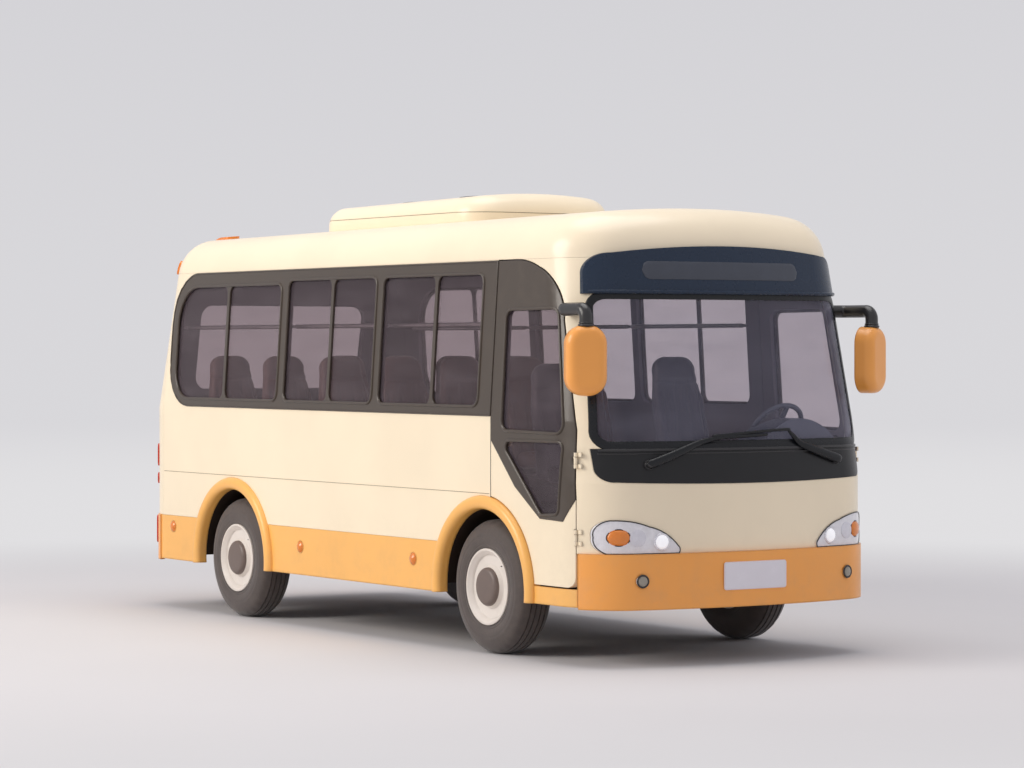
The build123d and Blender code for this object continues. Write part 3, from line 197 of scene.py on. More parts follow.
class Finish:
    """One procedural material or world and the nodes that make it."""

    def __init__(self, name, kind="materials"):
        self.name = name
        self.material = getattr(bpy.data, kind).new(name)
        self.material.use_nodes = True
        self.tree = self.material.node_tree
        self.tree.nodes.clear()

    def node(self, kind, settings=(), values=(), out=0):
        """Add a node: its settings first, then the values or links of its sockets."""
        made = self.tree.nodes.new(kind)
        for key, setting in dict(settings).items():
            setattr(made, key, setting)
        for key, value in dict(values).items():
            if isinstance(value, Value):
                self.tree.links.new(value.socket, made.inputs[key])
            else:
                made.inputs[key].default_value = value
        return Value(self, made.outputs[out]) if len(made.outputs) else None

    def outputs(self, value, *keys):
        """Other outputs of the node that a value comes from."""
        return [Value(self, value.socket.node.outputs[key]) for key in keys]

    def math(self, operation, a, b=0.0):
        return self.node("ShaderNodeMath", {"operation": operation}, {0: a, 1: b})

    def vector(self, operation, a, b, out=0):
        return self.node("ShaderNodeVectorMath", {"operation": operation}, {0: a, 1: b}, out)

    def place(self):
        """Position in the vehicle's frame."""
        return self.node("ShaderNodeTexCoord", out="Object")

    def axes(self):
        """x, y and z of the position as three numbers."""
        return self.outputs(self.node("ShaderNodeSeparateXYZ", (), {0: self.place()}), 0, 1, 2)

    def noise(self, size, detail=2.0, rough=0.5, stretch=None):
        """Noise whose features are about this many metres wide."""
        where = self.place()
        if stretch:
            where = self.node("ShaderNodeMapping", (), {"Vector": where, "Scale": stretch})
        values = {"Vector": where, "Scale": 1.0 / size, "Detail": detail, "Roughness": rough}
        return self.node("ShaderNodeTexNoise", (), values)

    def mix(self, share, a, b):
        """Colour a turned towards colour b."""
        settings = {"data_type": "RGBA", "clamp_factor": True}
        return self.node("ShaderNodeMix", settings, {0: share, 6: a, 7: b}, out=2)

    def bump(self, height, distance, strength=1.0, normal=None):
        values = {"Strength": strength, "Distance": distance, "Height": height}
        if normal:
            values["Normal"] = normal
        return self.node("ShaderNodeBump", (), values)

    def rounded(self, radius):
        """Normal that turns softly over every edge, as on pressed or moulded parts."""
        return self.node("ShaderNodeBevel", {"samples": 4}, {"Radius": radius})

    def seen(self):
        """1 for what the camera sees directly, in gloss or through glass."""
        path = self.node("ShaderNodeLightPath")
        camera, gloss, through = self.outputs(path, "Is Camera Ray", "Is Glossy Ray", "Is Transmission Ray")
        return self.math("MAXIMUM", self.math("MAXIMUM", camera, gloss), through)

    def inside(self):
        """1 on faces that look into the cabin, 0 on faces that look out of it."""
        place = self.place()
        core = self.vector("MINIMUM", self.vector("MAXIMUM", place, CABIN_LOW), CABIN_HIGH)
        away = self.vector("SUBTRACT", place, core)
        normal = self.node("ShaderNodeNewGeometry", out="True Normal")
        return 1.0 - self.vector("DOT_PRODUCT", away, normal, "Value").within(0.02, 0.05)

    def principled(self, **values):
        named = {key.replace("_", " "): value for key, value in values.items()}
        return self.node("ShaderNodeBsdfPrincipled", (), named)

    def show(self, shader, kind="Material"):
        self.node(f"ShaderNodeOutput{kind}", (), {"Surface": shader})
        return self


def rgba(colour, scale=1.0):
    return (*(channel * scale for channel in colour), 1.0)


# ------------------------------------------------------------------ finishes
FINISHES = {}
# nodes that wear a finish of their own within their slot; the skirts and arch trims wear the paler copy of
# the orange, painted light of the lit sides
OWN_FINISH = {
    "air_conditioner": "unit_paint", "windshield": "screen_glass", "skirts": "faded_orange",
    "wheel_arch_trims": "faded_orange", "wheel_housings": "arch_liner",
}
ROAD_DUST, ROAD_DIRT, RUST = rgba((0.42, 0.34, 0.26)), rgba((0.16, 0.125, 0.095)), rgba((0.19, 0.062, 0.022))
LINING_DARK, LINING_PALE = rgba((0.115, 0.100, 0.118)), rgba((0.165, 0.143, 0.168))
TYRE_BLACK, TYRE_DUSTY = rgba((0.064, 0.049, 0.044)), rgba((0.092, 0.073, 0.065))
DUST_LOW_Z, DUST_HIGH_Z = 0.25, 0.95


def paint(name, colour, ripple, edge=0.010, lined=False):
    """Sprayed gloss paint: slow ripple, faint shade change, road dust low down, cloth lining inside."""
    f = Finish(name)
    height = f.axes()[2]
    cloud = f.noise(0.7, 3.0)
    dust = (1.0 - height.within(DUST_LOW_Z, DUST_HIGH_Z)) * f.noise(0.16, 5.0, 0.65).within(0.42, 0.72)
    shade = f.mix(cloud.within(0.3, 0.7), rgba(colour, 0.97), rgba(colour, 1.02))
    colour_out = f.mix(dust * 0.14, shade, ROAD_DUST)
    rough = 0.34 + dust * 0.25 + f.noise(0.05, 2.0) * 0.06
    if lined:
        lining = f.mix(f.noise(0.004, 2.0), LINING_DARK, LINING_PALE)
        inner = f.inside()
        colour_out = f.mix(inner, colour_out, lining)
        rough = rough + inner * 0.4
    peel = f.noise(ripple * 0.12, 1.0) * 0.3 + f.noise(ripple, 1.0)
    return f.show(f.principled(
        Base_Color=colour_out, Roughness=rough, Normal=f.bump(peel, 0.0006, 0.25, f.rounded(edge)),
        Coat_Weight=0.35, Coat_Roughness=0.12, Specular_IOR_Level=0.45))


def moulded(name, colour, rough, grain=0.0012, depth=0.00025, coat=0.0, fade=1.12, edge=0.006, shine=0.5):
    """Moulded plastic with a fine grain, soft edges and paler worn patches."""
    f = Finish(name)
    wear = f.noise(0.09, 4.0, 0.6).within(0.45, 0.75)
    return f.show(f.principled(
        Base_Color=f.mix(wear, rgba(colour), rgba(colour, fade)), Roughness=rough - 0.06 + wear * 0.12,
        Normal=f.bump(f.noise(grain, 2.0), depth, 0.5, f.rounded(edge)), Specular_IOR_Level=shine,
        Coat_Weight=coat, Coat_Roughness=0.1))


def pane(name, tint, haze, body):
    """Tinted pane: clear from in front, a mirror at a glance, with streaks of faint dust."""
    f = Finish(name)
    facing_away = f.node("ShaderNodeLayerWeight", (), {"Blend": 0.5}, out="Facing")
    mirror = 0.035 + 0.9 * facing_away ** 5
    streaks = f.noise(0.25, 4.0, 0.6, (0.6, 0.6, 2.5)).within(0.35, 0.8)
    share = mirror + haze * (0.7 + 0.6 * streaks)
    clear = f.node("ShaderNodeBsdfTransparent", (), {"Color": rgba(tint)})
    rough = 0.03 + streaks * 0.01
    gloss = f.principled(Base_Color=rgba(body), Roughness=rough, IOR=1.5, Specular_IOR_Level=1.0)
    return f.show(f.node("ShaderNodeMixShader", (), {0: share, 1: clear, 2: gloss}))


def lens(name, colour, glow, ribs):
    """Moulded lamp lens with fine ribs behind a smooth face."""
    f = Finish(name)
    x, y, z = f.axes()
    turns = 2 * math.pi / ribs
    prisms = (z * turns).wave() * 0.5 + ((x + y) * turns).wave() * 0.5
    cloud = f.noise(0.03, 2.0)
    return f.show(f.principled(
        Base_Color=f.mix(cloud, rgba(colour, 0.86), rgba(colour, 1.1)), Roughness=0.16 + cloud * 0.08,
        Normal=f.bump(prisms, 0.0006, 0.5), Coat_Weight=0.8, Coat_Roughness=0.04,
        Emission_Color=rgba(colour), Emission_Strength=glow))


def metal(name, colour, rough, streak=(1, 1, 1)):
    """Metal with fine drawn lines."""
    f = Finish(name)
    lines = f.noise(0.004, 3.0, 0.6, streak)
    stain = f.noise(0.12, 4.0, 0.6).within(0.5, 0.8)
    return f.show(f.principled(
        Base_Color=f.mix(stain * 0.5, rgba(colour), rgba(colour, 0.6)), Metallic=1.0,
        Roughness=rough + lines * 0.12 + stain * 0.1, Normal=f.bump(lines, 0.0002, 0.4)))


def underbody(name, colour, rust):
    """Chassis paint with road dirt and a little rust."""
    f = Finish(name)
    dirt = f.noise(0.11, 6.0, 0.65).within(0.42, 0.7)
    spots = f.noise(0.028, 5.0, 0.7).within(0.62, 0.7)
    shade = f.mix(spots * rust, f.mix(dirt * 0.55, rgba(colour), ROAD_DIRT), RUST)
    return f.show(f.principled(
        Base_Color=shade, Roughness=0.5 + dirt * 0.3, Normal=f.bump(dirt + spots, 0.0012, 0.5)))


def rubber(name):
    """Tyre rubber: fine scuffing and patches of grey dust."""
    f = Finish(name)
    dust = f.noise(0.06, 5.0, 0.65).within(0.35, 0.75)
    fine = f.noise(0.0035, 3.0, 0.6)
    return f.show(f.principled(
        Base_Color=f.mix(dust, TYRE_BLACK, TYRE_DUSTY), Roughness=0.62 + dust * 0.16,
        Normal=f.bump(fine + dust, 0.0009, 0.6), Sheen_Weight=0.25, Sheen_Roughness=0.5))


def leather(name, colour):
    """Seat cover: pebbled leathercloth, paler where it's worn, darker in the hollows between the pebbles as
    painted shade.
    """
    f = Finish(name)
    cells = {"Vector": f.place(), "Scale": 260.0}
    pebble = f.node("ShaderNodeTexVoronoi", {"feature": "DISTANCE_TO_EDGE"}, cells).within(0.0, 0.35)
    worn = f.noise(0.09, 4.0, 0.6).within(0.4, 0.75)
    shade = f.mix(worn, rgba(colour, 0.85), rgba(colour, 1.25))
    # the hollows between the pebbles are darkened: painted shade
    shade = f.mix(1.0 - pebble, shade, rgba(colour, 0.82))
    return f.show(f.principled(
        Base_Color=shade, Roughness=0.46 + worn * 0.14, Normal=f.bump(pebble, 0.0003, 0.35),
        Sheen_Weight=0.2))


def covering(name, colour):
    """Studded floor covering."""
    f = Finish(name)
    studs = {"Vector": f.place(), "Scale": 34.0, "Randomness": 0.0}
    stud = 1.0 - f.node("ShaderNodeTexVoronoi", {"feature": "F1"}, studs).within(0.20, 0.32)
    worn = f.noise(0.22, 4.0, 0.6).within(0.35, 0.75)
    return f.show(f.principled(
        Base_Color=f.mix(worn, rgba(colour, 0.82), rgba(colour, 1.2)), Roughness=0.62 + worn * 0.1,
        Normal=f.bump(stud, 0.0012, 0.6)))


class MINIBUS_OT_finishes(bpy.types.Operator):
    """Make every finish and put it on the CAD nodes"""

    bl_idname = "minibus.finishes"
    bl_label = "Finishes"

    def execute(self, context):
        scene = context.scene
        paints, glass = scene.minibus_paint, scene.minibus_glass
        ripple = paints.flake_size
        made = (
            paint("cream_paint", paints.cream, ripple, 0.008, True),
            paint("unit_paint", paints.cream, ripple, 0.008),
            moulded("arch_liner", (0.020, 0.013, 0.010), 0.62, 0.004, 0.0008, shine=0.2),
            # paler copy of the orange for the skirts and arches: painted light of the lit sides
            paint("faded_orange", paints.faded, ripple, 0.020),
            # deeper orange of the bumpers and mirrors: painted shade of the front and rear faces
            paint("orange_paint", paints.orange, ripple, 0.020),
            moulded("dark_frame", paints.surround, 0.34, coat=0.25, edge=0.012),
            pane("window_glass", glass.tint, glass.haze, (0.30, 0.25, 0.28)),
            pane("screen_glass", (0.985, 0.975, 1.0), 0.075, (0.36, 0.36, 0.46)),
            moulded("visor", (0.011, 0.024, 0.050), 0.32, depth=0.00003, coat=0.1, fade=1.02, shine=0.35),
            moulded("cowl", (0.009, 0.009, 0.010), 0.38, coat=0.08, shine=0.35),
            lens("clear_lamp", (0.80, 0.79, 0.83), 0.0, 0.02),
            lens("amber_lens", (0.72, 0.20, 0.010), 0.06, 0.012),
            lens("red_lens", (0.60, 0.035, 0.022), 0.03, 0.014),
            moulded("blank_plate", (0.76, 0.73, 0.78), 0.34, fade=1.03, edge=0.003),
            metal("mirror_silver", (0.86, 0.87, 0.90), 0.02),
            moulded("black_plastic", (0.020, 0.019, 0.020), 0.36, coat=0.2),
            moulded("interior_plastic", (0.075, 0.082, 0.108), 0.45, 0.002, 0.0004),
            covering("floor_covering", (0.13, 0.115, 0.115)),
            leather("seat_cover", scene.minibus_seats.cover),
            metal("rail_metal", (0.50, 0.48, 0.48), 0.28, (0.05, 1, 1)),
            underbody("chassis_paint", (0.030, 0.030, 0.033), 0.35),
            underbody("engine_iron", (0.11, 0.115, 0.12), 0.6),
            underbody("tank_paint", (0.045, 0.045, 0.05), 0.15),
            metal("exhaust_steel", (0.36, 0.33, 0.30), 0.42, (0.1, 1, 1)),
            rubber("tyre_rubber"),
            paint("rim_paint", (0.80, 0.74, 0.68), 0.02),
            moulded("hub_cap", (0.150, 0.112, 0.097), 0.42),
            leather("cab_cover", (0.105, 0.100, 0.135)),
            moulded("sign_window", (0.046, 0.053, 0.072), 0.36, depth=0.00004, coat=0.1),
            # darker cream of the shut lines and the cover line: painted shade of the grooves between panels
            moulded("shut_line", (0.33, 0.26, 0.17), 0.7),
            moulded("plate_rim", (0.80, 0.71, 0.74), 0.35),
            moulded("gloss_black", (0.007, 0.008, 0.010), 0.32, depth=0.00005, coat=0.1, shine=0.3),
            metal("bowl_silver", (0.80, 0.79, 0.83), 0.22),
            lens("bright_lens", (0.92, 0.92, 0.95), 0.35, 0.016),
            lens("pale_lens", (0.72, 0.71, 0.77), 0.0, 0.018),
            lens("fog_lens", (0.30, 0.27, 0.22), 0.0, 0.010),
            moulded("dial_face", (0.010, 0.010, 0.012), 0.2, coat=0.6),
            metal("bolt_steel", (0.30, 0.29, 0.28), 0.4),
        )
        FINISHES.update((finish.name, finish.material) for finish in made)
        for subpart in frame["record"]["subparts"]:
            node = NODES[subpart["node"]]
            wear(node, OWN_FINISH.get(subpart["node"], subpart["material_slot"]), 32.0)
        return {"FINISHED"}


# ------------------------------------------------------------------ pieces
def wear(piece, finish, smooth):
    """Give a mesh one finish, and smooth shading that breaks at edges sharper than the angle."""
    mesh = piece.data
    mesh.materials.clear()
    mesh.materials.append(FINISHES[finish])
    mesh.shade_smooth()
    mesh.set_sharp_from_angle(angle=math.radians(smooth))


def dress(piece, finish, body, smooth):
    """Put a new piece in the scene, on its body and in its slot."""
    bpy.context.scene.collection.objects.link(piece)
    wear(piece, finish, smooth)
    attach(piece, body)
    return piece


def mesh_piece(name, points, faces, finish, body="root", smooth=35.0):
    """A new mesh that rides on a body."""
    mesh = bpy.data.meshes.new(name)
    mesh.from_pydata([tuple(p) for p in points], [], faces)
    mesh.validate()
    shell = bmesh.new()
    shell.from_mesh(mesh)
    bmesh.ops.recalc_face_normals(shell, faces=shell.faces)
    shell.to_mesh(mesh)
    shell.free()
    mesh.update()
    return dress(bpy.data.objects.new(name, mesh), finish, body, smooth)


def gathered(shapes):
    """Several lists of points and faces as one."""
    points, faces = [], []
    for more_points, more_faces in shapes:
        start = len(points)
        points += more_points
        faces += [[start + i for i in face] for face in more_faces]
    return points, faces


def joined(name, shapes, finish="black_plastic", body="root", smooth=40.0):
    """Several shapes of one finish as one piece."""
    return mesh_piece(name, *gathered(shapes), finish, body, smooth)


# ------------------------------------------------------------------ finding the skin
def surface_of(*nodes):
    """Search tree over the skins of some CAD nodes."""
    meshes = [NODES[name].data for name in nodes]
    skins = (([v.co.copy() for v in mesh.vertices], [p.vertices for p in mesh.polygons]) for mesh in meshes)
    return BVHTree.FromPolygons(*gathered(skins))


def touch(tree, start, way):
    """Where a ray first meets a skin and the normal there, turned back towards the ray."""
    way = Vector(way)
    hit, normal, _, _ = tree.ray_cast(Vector(start), way)
    return (hit, normal if normal.dot(way) < 0 else -normal) if hit else (None, None)


def onto_side(tree, x, z, side):
    """Point and outward normal of the skin at (x, z), seen from the side."""
    return touch(tree, (x, side * 3.0, z), (0, -side, 0))


def onto_front(tree, y, z, way=1):
    """Point and outward normal of the skin at (y, z), seen from the front or, with way -1, the rear."""
    return touch(tree, (way * 5.0, y, z), (-way, 0, 0))


def around(tree, middle, ways, reach):
    """Points and normals of a closed shape, met from all round its middle."""
    rays = (Vector(way).normalized() for way in ways)
    found = [touch(tree, middle + out * reach, -out) for out in rays]
    return zip(*(pair for pair in found if pair[0]))


def spot(tree, y, z):
    """Point and outward normal of the front skin, averaged over a few centimetres."""
    at, _ = onto_front(tree, y, z)
    if not at:
        raise RuntimeError(f"nothing to fit a lamp to at {y}, {z}")
    near = ((0, 0), (0.02, 0), (-0.02, 0), (0, 0.02), (0, -0.02))
    normals = (onto_front(tree, y + dy, z + dz)[1] for dy, dz in near)
    return at, sum((n for n in normals if n), Vector((0, 0, 0))).normalized()


# ------------------------------------------------------------------ outlines and paths
def circle(count):
    """Directions evenly round a circle, each as (cosine, sine)."""
    turns = (2 * math.pi * k / count for k in range(count))
    return [(math.cos(t), math.sin(t)) for t in turns]


def box_outline(across, up, radius, step=6):
    """Rounded rectangle from (low, high) across and up."""
    (x0, x1), (z0, z1) = across, up
    return rounded_outline(((x0, z0), (x1, z0), (x1, z1), (x0, z1)), radius, step)


def arc(centre, radius, start, end, steps):
    """Points along an arc from the start's direction to the end's, the short way round."""
    first, last = (math.atan2(p.y - centre.y, p.x - centre.x) for p in (start, end))
    turn = (last - first + math.pi) % (2 * math.pi) - math.pi
    angles = (first + turn * k / steps for k in range(steps + 1))
    return [centre + Vector((math.cos(a), math.sin(a))) * radius for a in angles]


def rounded_outline(corners, radii, step=6):
    """Points of a closed outline whose corners are arcs."""
    points = []
    count = len(corners)
    radii = radii if isinstance(radii, (list, tuple)) else [radii] * count
    for i, radius in enumerate(radii):
        before, here, after = Vector(corners[i - 1]), Vector(corners[i]), Vector(corners[(i + 1) % count])
        into, out = (before - here).normalized(), (after - here).normalized()
        half = into.angle(out) / 2
        reach = radius / math.tan(half)
        centre = here + (into + out).normalized() * (radius / math.sin(half))
        points += arc(centre, radius, here + into * reach, here + out * reach, step)
    return points


def arc_through(start, middle, end, steps=8):
    """Points on the circle through three points, without the last one."""
    a, b, c = Vector(start), Vector(middle), Vector(end)
    twice = 2 * (a.x * (b.y - c.y) + b.x * (c.y - a.y) + c.x * (a.y - b.y))
    aa, bb, cc = a.length_squared, b.length_squared, c.length_squared
    centre = Vector(((aa * (b.y - c.y) + bb * (c.y - a.y) + cc * (a.y - b.y)) / twice,
                     (aa * (c.x - b.x) + bb * (a.x - c.x) + cc * (b.x - a.x)) / twice))
    return arc(centre, (a - centre).length, a, c, steps)[:-1]


def densify(points, longest, closed=True):
    """Add points so that no run is longer than this."""
    out = []
    pairs = zip(points, points[1:] + points[:1]) if closed else zip(points, points[1:])
    for a, b in pairs:
        count = max(1, math.ceil((b - a).length / longest))
        out += [a.lerp(b, k / count) for k in range(count)]
    return out if closed else [*out, points[-1]]


def smooth_path(points, steps):
    """Curve through points, sampled evenly between each pair."""
    knots = [Vector(p) for p in points]
    ends = [knots[0] * 2 - knots[1], *knots, knots[-1] * 2 - knots[-2]]
    out = []
    for i in range(1, len(ends) - 2):
        a, b, c, d = ends[i - 1:i + 3]
        for t in (k / steps for k in range(steps)):
            bend = (2 * a - 5 * b + 4 * c - d) * t * t + (3 * b - a - 3 * c + d) * t ** 3
            out.append(0.5 * (2 * b + (c - a) * t + bend))
    return [*out, knots[-1]]


def facing(at, out):
    """Matrix whose z axis points out of a surface at a point."""
    z = Vector(out).normalized()
    x = Vector((0, 0, 1)).cross(z).normalized()
    matrix = Matrix((x, z.cross(x), z)).transposed().to_4x4()
    matrix.translation = Vector(at)
    return matrix


# ------------------------------------------------------------------ solid shapes, each as (points, faces)
def ring_faces(rings, sides, closed=False):
    """Faces between rings of points: a closed loop of rings, or a run with a flat end on each side."""
    faces = []
    for i in range(rings if closed else rings - 1):
        a, b = i * sides, (i + 1) % rings * sides
        faces += [(a + k, a + (k + 1) % sides, b + (k + 1) % sides, b + k) for k in range(sides)]
    if not closed:
        faces += [tuple(range(sides))[::-1], tuple(range((rings - 1) * sides, rings * sides))]
    return faces


def tube_shape(points, radii, sides=10, flat=1.0, up=(0, 0, 1)):
    """Round or flattened bar along points, with domed ends."""
    path = [Vector(p) for p in points]
    widths = [radii] * len(path) if isinstance(radii, float) else radii
    last = len(path) - 1
    out, start_dome, end_dome = [], [(0.35, -0.9), (0.8, -0.5)], [(0.8, 0.5), (0.35, 0.9)]
    for i, (here, width) in enumerate(zip(path, widths)):
        along = (path[min(i + 1, last)] - path[max(i - 1, 0)]).normalized()
        side = along.cross(Vector(up)).normalized()
        rise = side.cross(along).normalized()
        for share, lift in start_dome * (i == 0) + [(1.0, 0.0)] + end_dome * (i == last):
            centre = here + along * lift * width
            out += [centre + (side * c + rise * s * flat) * width * share for c, s in circle(sides)]
    return out, ring_faces(len(out) // sides, sides)


def turned_shape(profile, at, axis, sides=32):
    """Solid turned about an axis from (radius, height) points, closed at both ends."""
    turn = Vector((0, 0, 1)).rotation_difference(Vector(axis).normalized()).to_matrix()
    points = [Vector(at) + turn @ Vector((radius * c, radius * s, height))
              for radius, height in profile for c, s in circle(sides)]
    return points, ring_faces(len(profile), sides)


def ring_shape(radius, thick, at, axis, sides=32, section=10):
    """Torus about an axis."""
    turn = Vector((0, 0, 1)).rotation_difference(Vector(axis).normalized()).to_matrix()
    points = []
    for c, s in circle(sides):
        for out, rise in circle(section):
            reach = radius + thick * out
            points.append(Vector(at) + turn @ Vector((reach * c, reach * s, thick * rise)))
    return points, ring_faces(sides, section, closed=True)


def shrunk(outline, rings):
    """Rings of points from a flat outline: each is drawn in towards the middle and lifted."""
    flat = [Vector((p[0], p[1])) for p in outline]
    middle = sum(flat, Vector((0, 0))) / len(flat)
    points = []
    for inward, height in rings:
        for p in flat:
            q = p + (middle - p).normalized() * inward
            points.append(Vector((q.x, q.y, height)))
    return points, ring_faces(len(rings), len(flat))


def slab_shape(outline, depth, bevel, place):
    """Plate from a flat outline, its edges rounded on both faces; place puts it in the vehicle."""
    points, faces = shrunk(outline, [
        (bevel, 0.0), (bevel * 0.3, bevel * 0.3), (0.0, bevel), (0.0, depth - bevel),
        (bevel * 0.3, depth - bevel * 0.3), (bevel, depth)])
    return [place @ p for p in points], faces


def bar_shape(low, high, bevel):
    """Bar between two corners, with every edge rounded."""
    (x0, y0, z0), (x1, y1, z1) = low, high
    outline = box_outline((x0, x1), (y0, y1), min(bevel, (x1 - x0) / 2.2, (y1 - y0) / 2.2), 3)
    return slab_shape(outline, z1 - z0, min(bevel, (z1 - z0) / 2.2), Matrix.Translation((0, 0, z0)))


# ------------------------------------------------------------------ strips laid on the skin
def round_section(radius, lift=0.0, sides=8):
    return [(radius * c, lift + radius * s) for c, s in circle(sides)]


def bead(name, path, normals, section, finish="black_plastic", body="root", closed=True):
    """Solid strip along a path. section is a list of (across, out) points round the strip."""
    count = len(path)
    points = []
    for i, (here, out) in enumerate(zip(path, normals)):
        before = path[i - 1] if closed or i else here
        after = path[(i + 1) % count] if closed or i < count - 1 else here
        along = (after - before).normalized()
        out = (out - along * out.dot(along)).normalized()
        across = along.cross(out).normalized()
        points += [here + across * u + out * v for u, v in section]
    return mesh_piece(name, points, ring_faces(count, len(section), closed), finish, body)


def laid_bead(name, look, outline, step, section, finish, body, closed):
    """Bead along an outline; look gives the skin's point and normal at each place of it."""
    found = [look(*place) for place in densify(outline, step, closed)]
    found = [pair for pair in found if pair[0]]
    if len(found) < 3:
        raise RuntimeError(f"{name} found no skin to follow")
    return bead(name, *zip(*found), section, finish, body, closed)


def side_bead(name, tree, outline, section, finish, body, side, closed=True):
    """Bead that follows an (x, z) outline on one side."""
    return laid_bead(name, lambda x, z: onto_side(tree, x, z, side), outline, 0.04,
                     section, finish, body, closed)


def front_bead(name, tree, outline, section, finish="black_plastic", closed=True, way=1):
    """Bead that follows a (y, z) outline on the front or rear."""
    return laid_bead(name, lambda y, z: onto_front(tree, y, z, way), outline, 0.03,
                     section, finish, "root", closed)


def front_strip(name, tree, z, across, section, finish="black_plastic", way=1):
    """Level bead at height z through the given places across the front or rear."""
    return front_bead(name, tree, [Vector((y, z)) for y in across], section, finish, False, way)


def draped_panel(name, tree, across, up, radius, rise, finish, columns=72, rows=8):
    """Thin raised panel with round corners that follows the front; across and up are (low, high)."""
    (y0, y1), (z0, z1) = across, up
    points, faces = [], []
    for i in range(columns + 1):
        y = y0 + (y1 - y0) * i / columns
        near = min(y - y0, y1 - y)
        cut = radius - math.sqrt(max(0.0, radius ** 2 - max(0.0, radius - near) ** 2))
        low, high = z0 + cut, z1 - cut
        for j in range(rows + 1):
            z = low + (high - low) * j / rows
            hit, normal = onto_front(tree, y, z)
            if not hit:
                raise RuntimeError(f"{name} runs off the skin")
            edge = min(near, z - low, high - z)
            points.append(hit + normal * rise * min(1.0, 0.35 + edge / 0.006))
    ring = rows + 1
    for i in range(columns):
        a, b = i * ring, (i + 1) * ring
        faces += [(a + j, a + j + 1, b + j + 1, b + j) for j in range(rows)]
    # the same outline sunk into the skin closes the panel
    count = len(points)
    back = [p + Vector((-0.012, 0, 0)) for p in points]
    rim = [*range(ring), *(i * ring + rows for i in range(1, columns + 1))]
    rim += [columns * ring + j for j in range(rows - 1, -1, -1)]
    rim += [i * ring for i in range(columns - 1, 0, -1)]
    faces += [tuple(count + v for v in face)[::-1] for face in faces]
    faces += [(a, b, count + b, count + a) for a, b in zip(rim, rim[1:] + rim[:1])]
    return mesh_piece(name, points + back, faces, finish, smooth=50.0)


# ------------------------------------------------------------------ windows
WINDOW_BASE_Z = 1.475
WINDOW_CORNER = 0.055
BAND_REAR_X, BAND_FRONT_X = -2.480, 1.684
BAND_BASE_Z, BAND_TOP_Z = 1.420, 2.331
BAND_TOP_R, BAND_FOOT_R, BAND_FRONT_R = 0.350, 0.280, 0.004
# x of the rear edge, x of the front edge, top z
SIDE_WINDOWS = ((-2.392, -0.934, 2.240), (-0.839, 0.294, 2.263), (0.379, 1.538, 2.260))
# name, corners and their radius, what the seal adds to the radius, the place it grows from and how far
# (both in radii of the seal), and the nodes it lies on
DOOR_PANES = (
    ("door", ((1.813, 1.339), (2.451, 1.330), (2.329, 2.046), (1.804, 2.042)),
     0.055, 0.4, (2.10, 1.69), 0.4, ("door_frame",)),
    ("quarter", ((1.802, 1.274), (2.225, 0.864), (2.400, 0.872), (2.441, 1.278)),
     0.040, 0.0, (2.2, 1.09), 0.9, ("door_frame", "door")),
)
SCREEN_CORNERS, SCREEN_CORNER_R = ((-0.957, 1.248), (0.957, 1.248), (0.892, 2.132), (-0.892, 2.132)), 0.090
# (across, out) round the strips that hold the glass
SCREEN_LIP = ((-0.030, -0.012), (0.014, -0.012), (0.018, 0.001), (0.013, 0.0065), (0.0, 0.0075),
              (-0.020, 0.0050), (-0.034, 0.0005))
SCREEN_FOOT = ((-0.022, -0.008), (0.022, -0.008), (0.020, 0.0035), (-0.020, 0.0035))
SCREEN_FOOT_Z, SCREEN_FOOT_Y = 1.268, (-0.895, -0.45, 0.0, 0.45, 0.895)
REAR_LIP = ((-0.015, -0.012), (0.026, -0.012), (0.029, 0.0005), (0.018, 0.0055), (0.0, 0.0075),
            (-0.013, 0.0065), (-0.018, 0.001))
REAR_WINDOW_Y, REAR_WINDOW_Z, REAR_WINDOW_R = (-0.700, 0.700), (1.500, 2.150), 0.120


def window_outline(x0, x1, top, grow):
    """Outline of one side window; the rearmost follows the band's corners."""
    margin = x0 - BAND_REAR_X
    at_rear = margin < BAND_TOP_R
    foot_r, top_r = (BAND_FOOT_R - margin, BAND_TOP_R - margin) if at_rear else (WINDOW_CORNER, WINDOW_CORNER)
    z0, z1 = WINDOW_BASE_Z - grow, top + grow
    corners = ((x0 - grow, z0), (x1 + grow, z0), (x1 + grow, z1), (x0 - grow, z1))
    return rounded_outline(corners, [r + grow for r in (foot_r, WINDOW_CORNER, WINDOW_CORNER, top_r)])


class MINIBUS_OT_seals(bpy.types.Operator):
    """Rubber seals round the side windows, door panes and screens"""

    bl_idname = "minibus.seals"
    bl_label = "Window seals"

    def execute(self, context):
        radius = context.scene.minibus_seals.radius
        band = surface_of("window_frames")
        section = round_section(radius, -radius * 0.15, 10)
        for side_name, side in SIDES:
            for number, window in enumerate(SIDE_WINDOWS, 1):
                outline = window_outline(*window, radius * 0.4)
                side_bead(f"seal_{side_name}_{number}", band, outline, section, "dark_frame", "root", side)
            for name, corners, corner_r, wider, middle, grow, nodes in DOOR_PANES:
                skin = surface_of(*(f"{node}_{side_name}" for node in nodes))
                outline = rounded_outline(corners, corner_r + radius * wider)
                grown = [p + (p - Vector(middle)).normalized() * radius * grow for p in outline]
                side_bead(f"seal_{name}_{side_name}", skin, grown, section, "dark_frame",
                          f"door_{side_name}", side)
        front, rear = surface_of("front_panel", "windshield"), surface_of("rear_panel", "side_glass")
        outline = rounded_outline(SCREEN_CORNERS, SCREEN_CORNER_R)
        front_bead("seal_windshield", front, outline, SCREEN_LIP, "gloss_black")
        front_strip("screen_foot", front, SCREEN_FOOT_Z, SCREEN_FOOT_Y, SCREEN_FOOT, "gloss_black")
        outline = box_outline(REAR_WINDOW_Y, REAR_WINDOW_Z, REAR_WINDOW_R)
        front_bead("seal_rear_window", rear, outline, REAR_LIP, "gloss_black", way=-1)
        return {"FINISHED"}


# ------------------------------------------------------------------ lines between panels
SIDE_LINE_Z = 0.958
WALL_REAR_X, WALL_FRONT_X = -2.545, 1.676


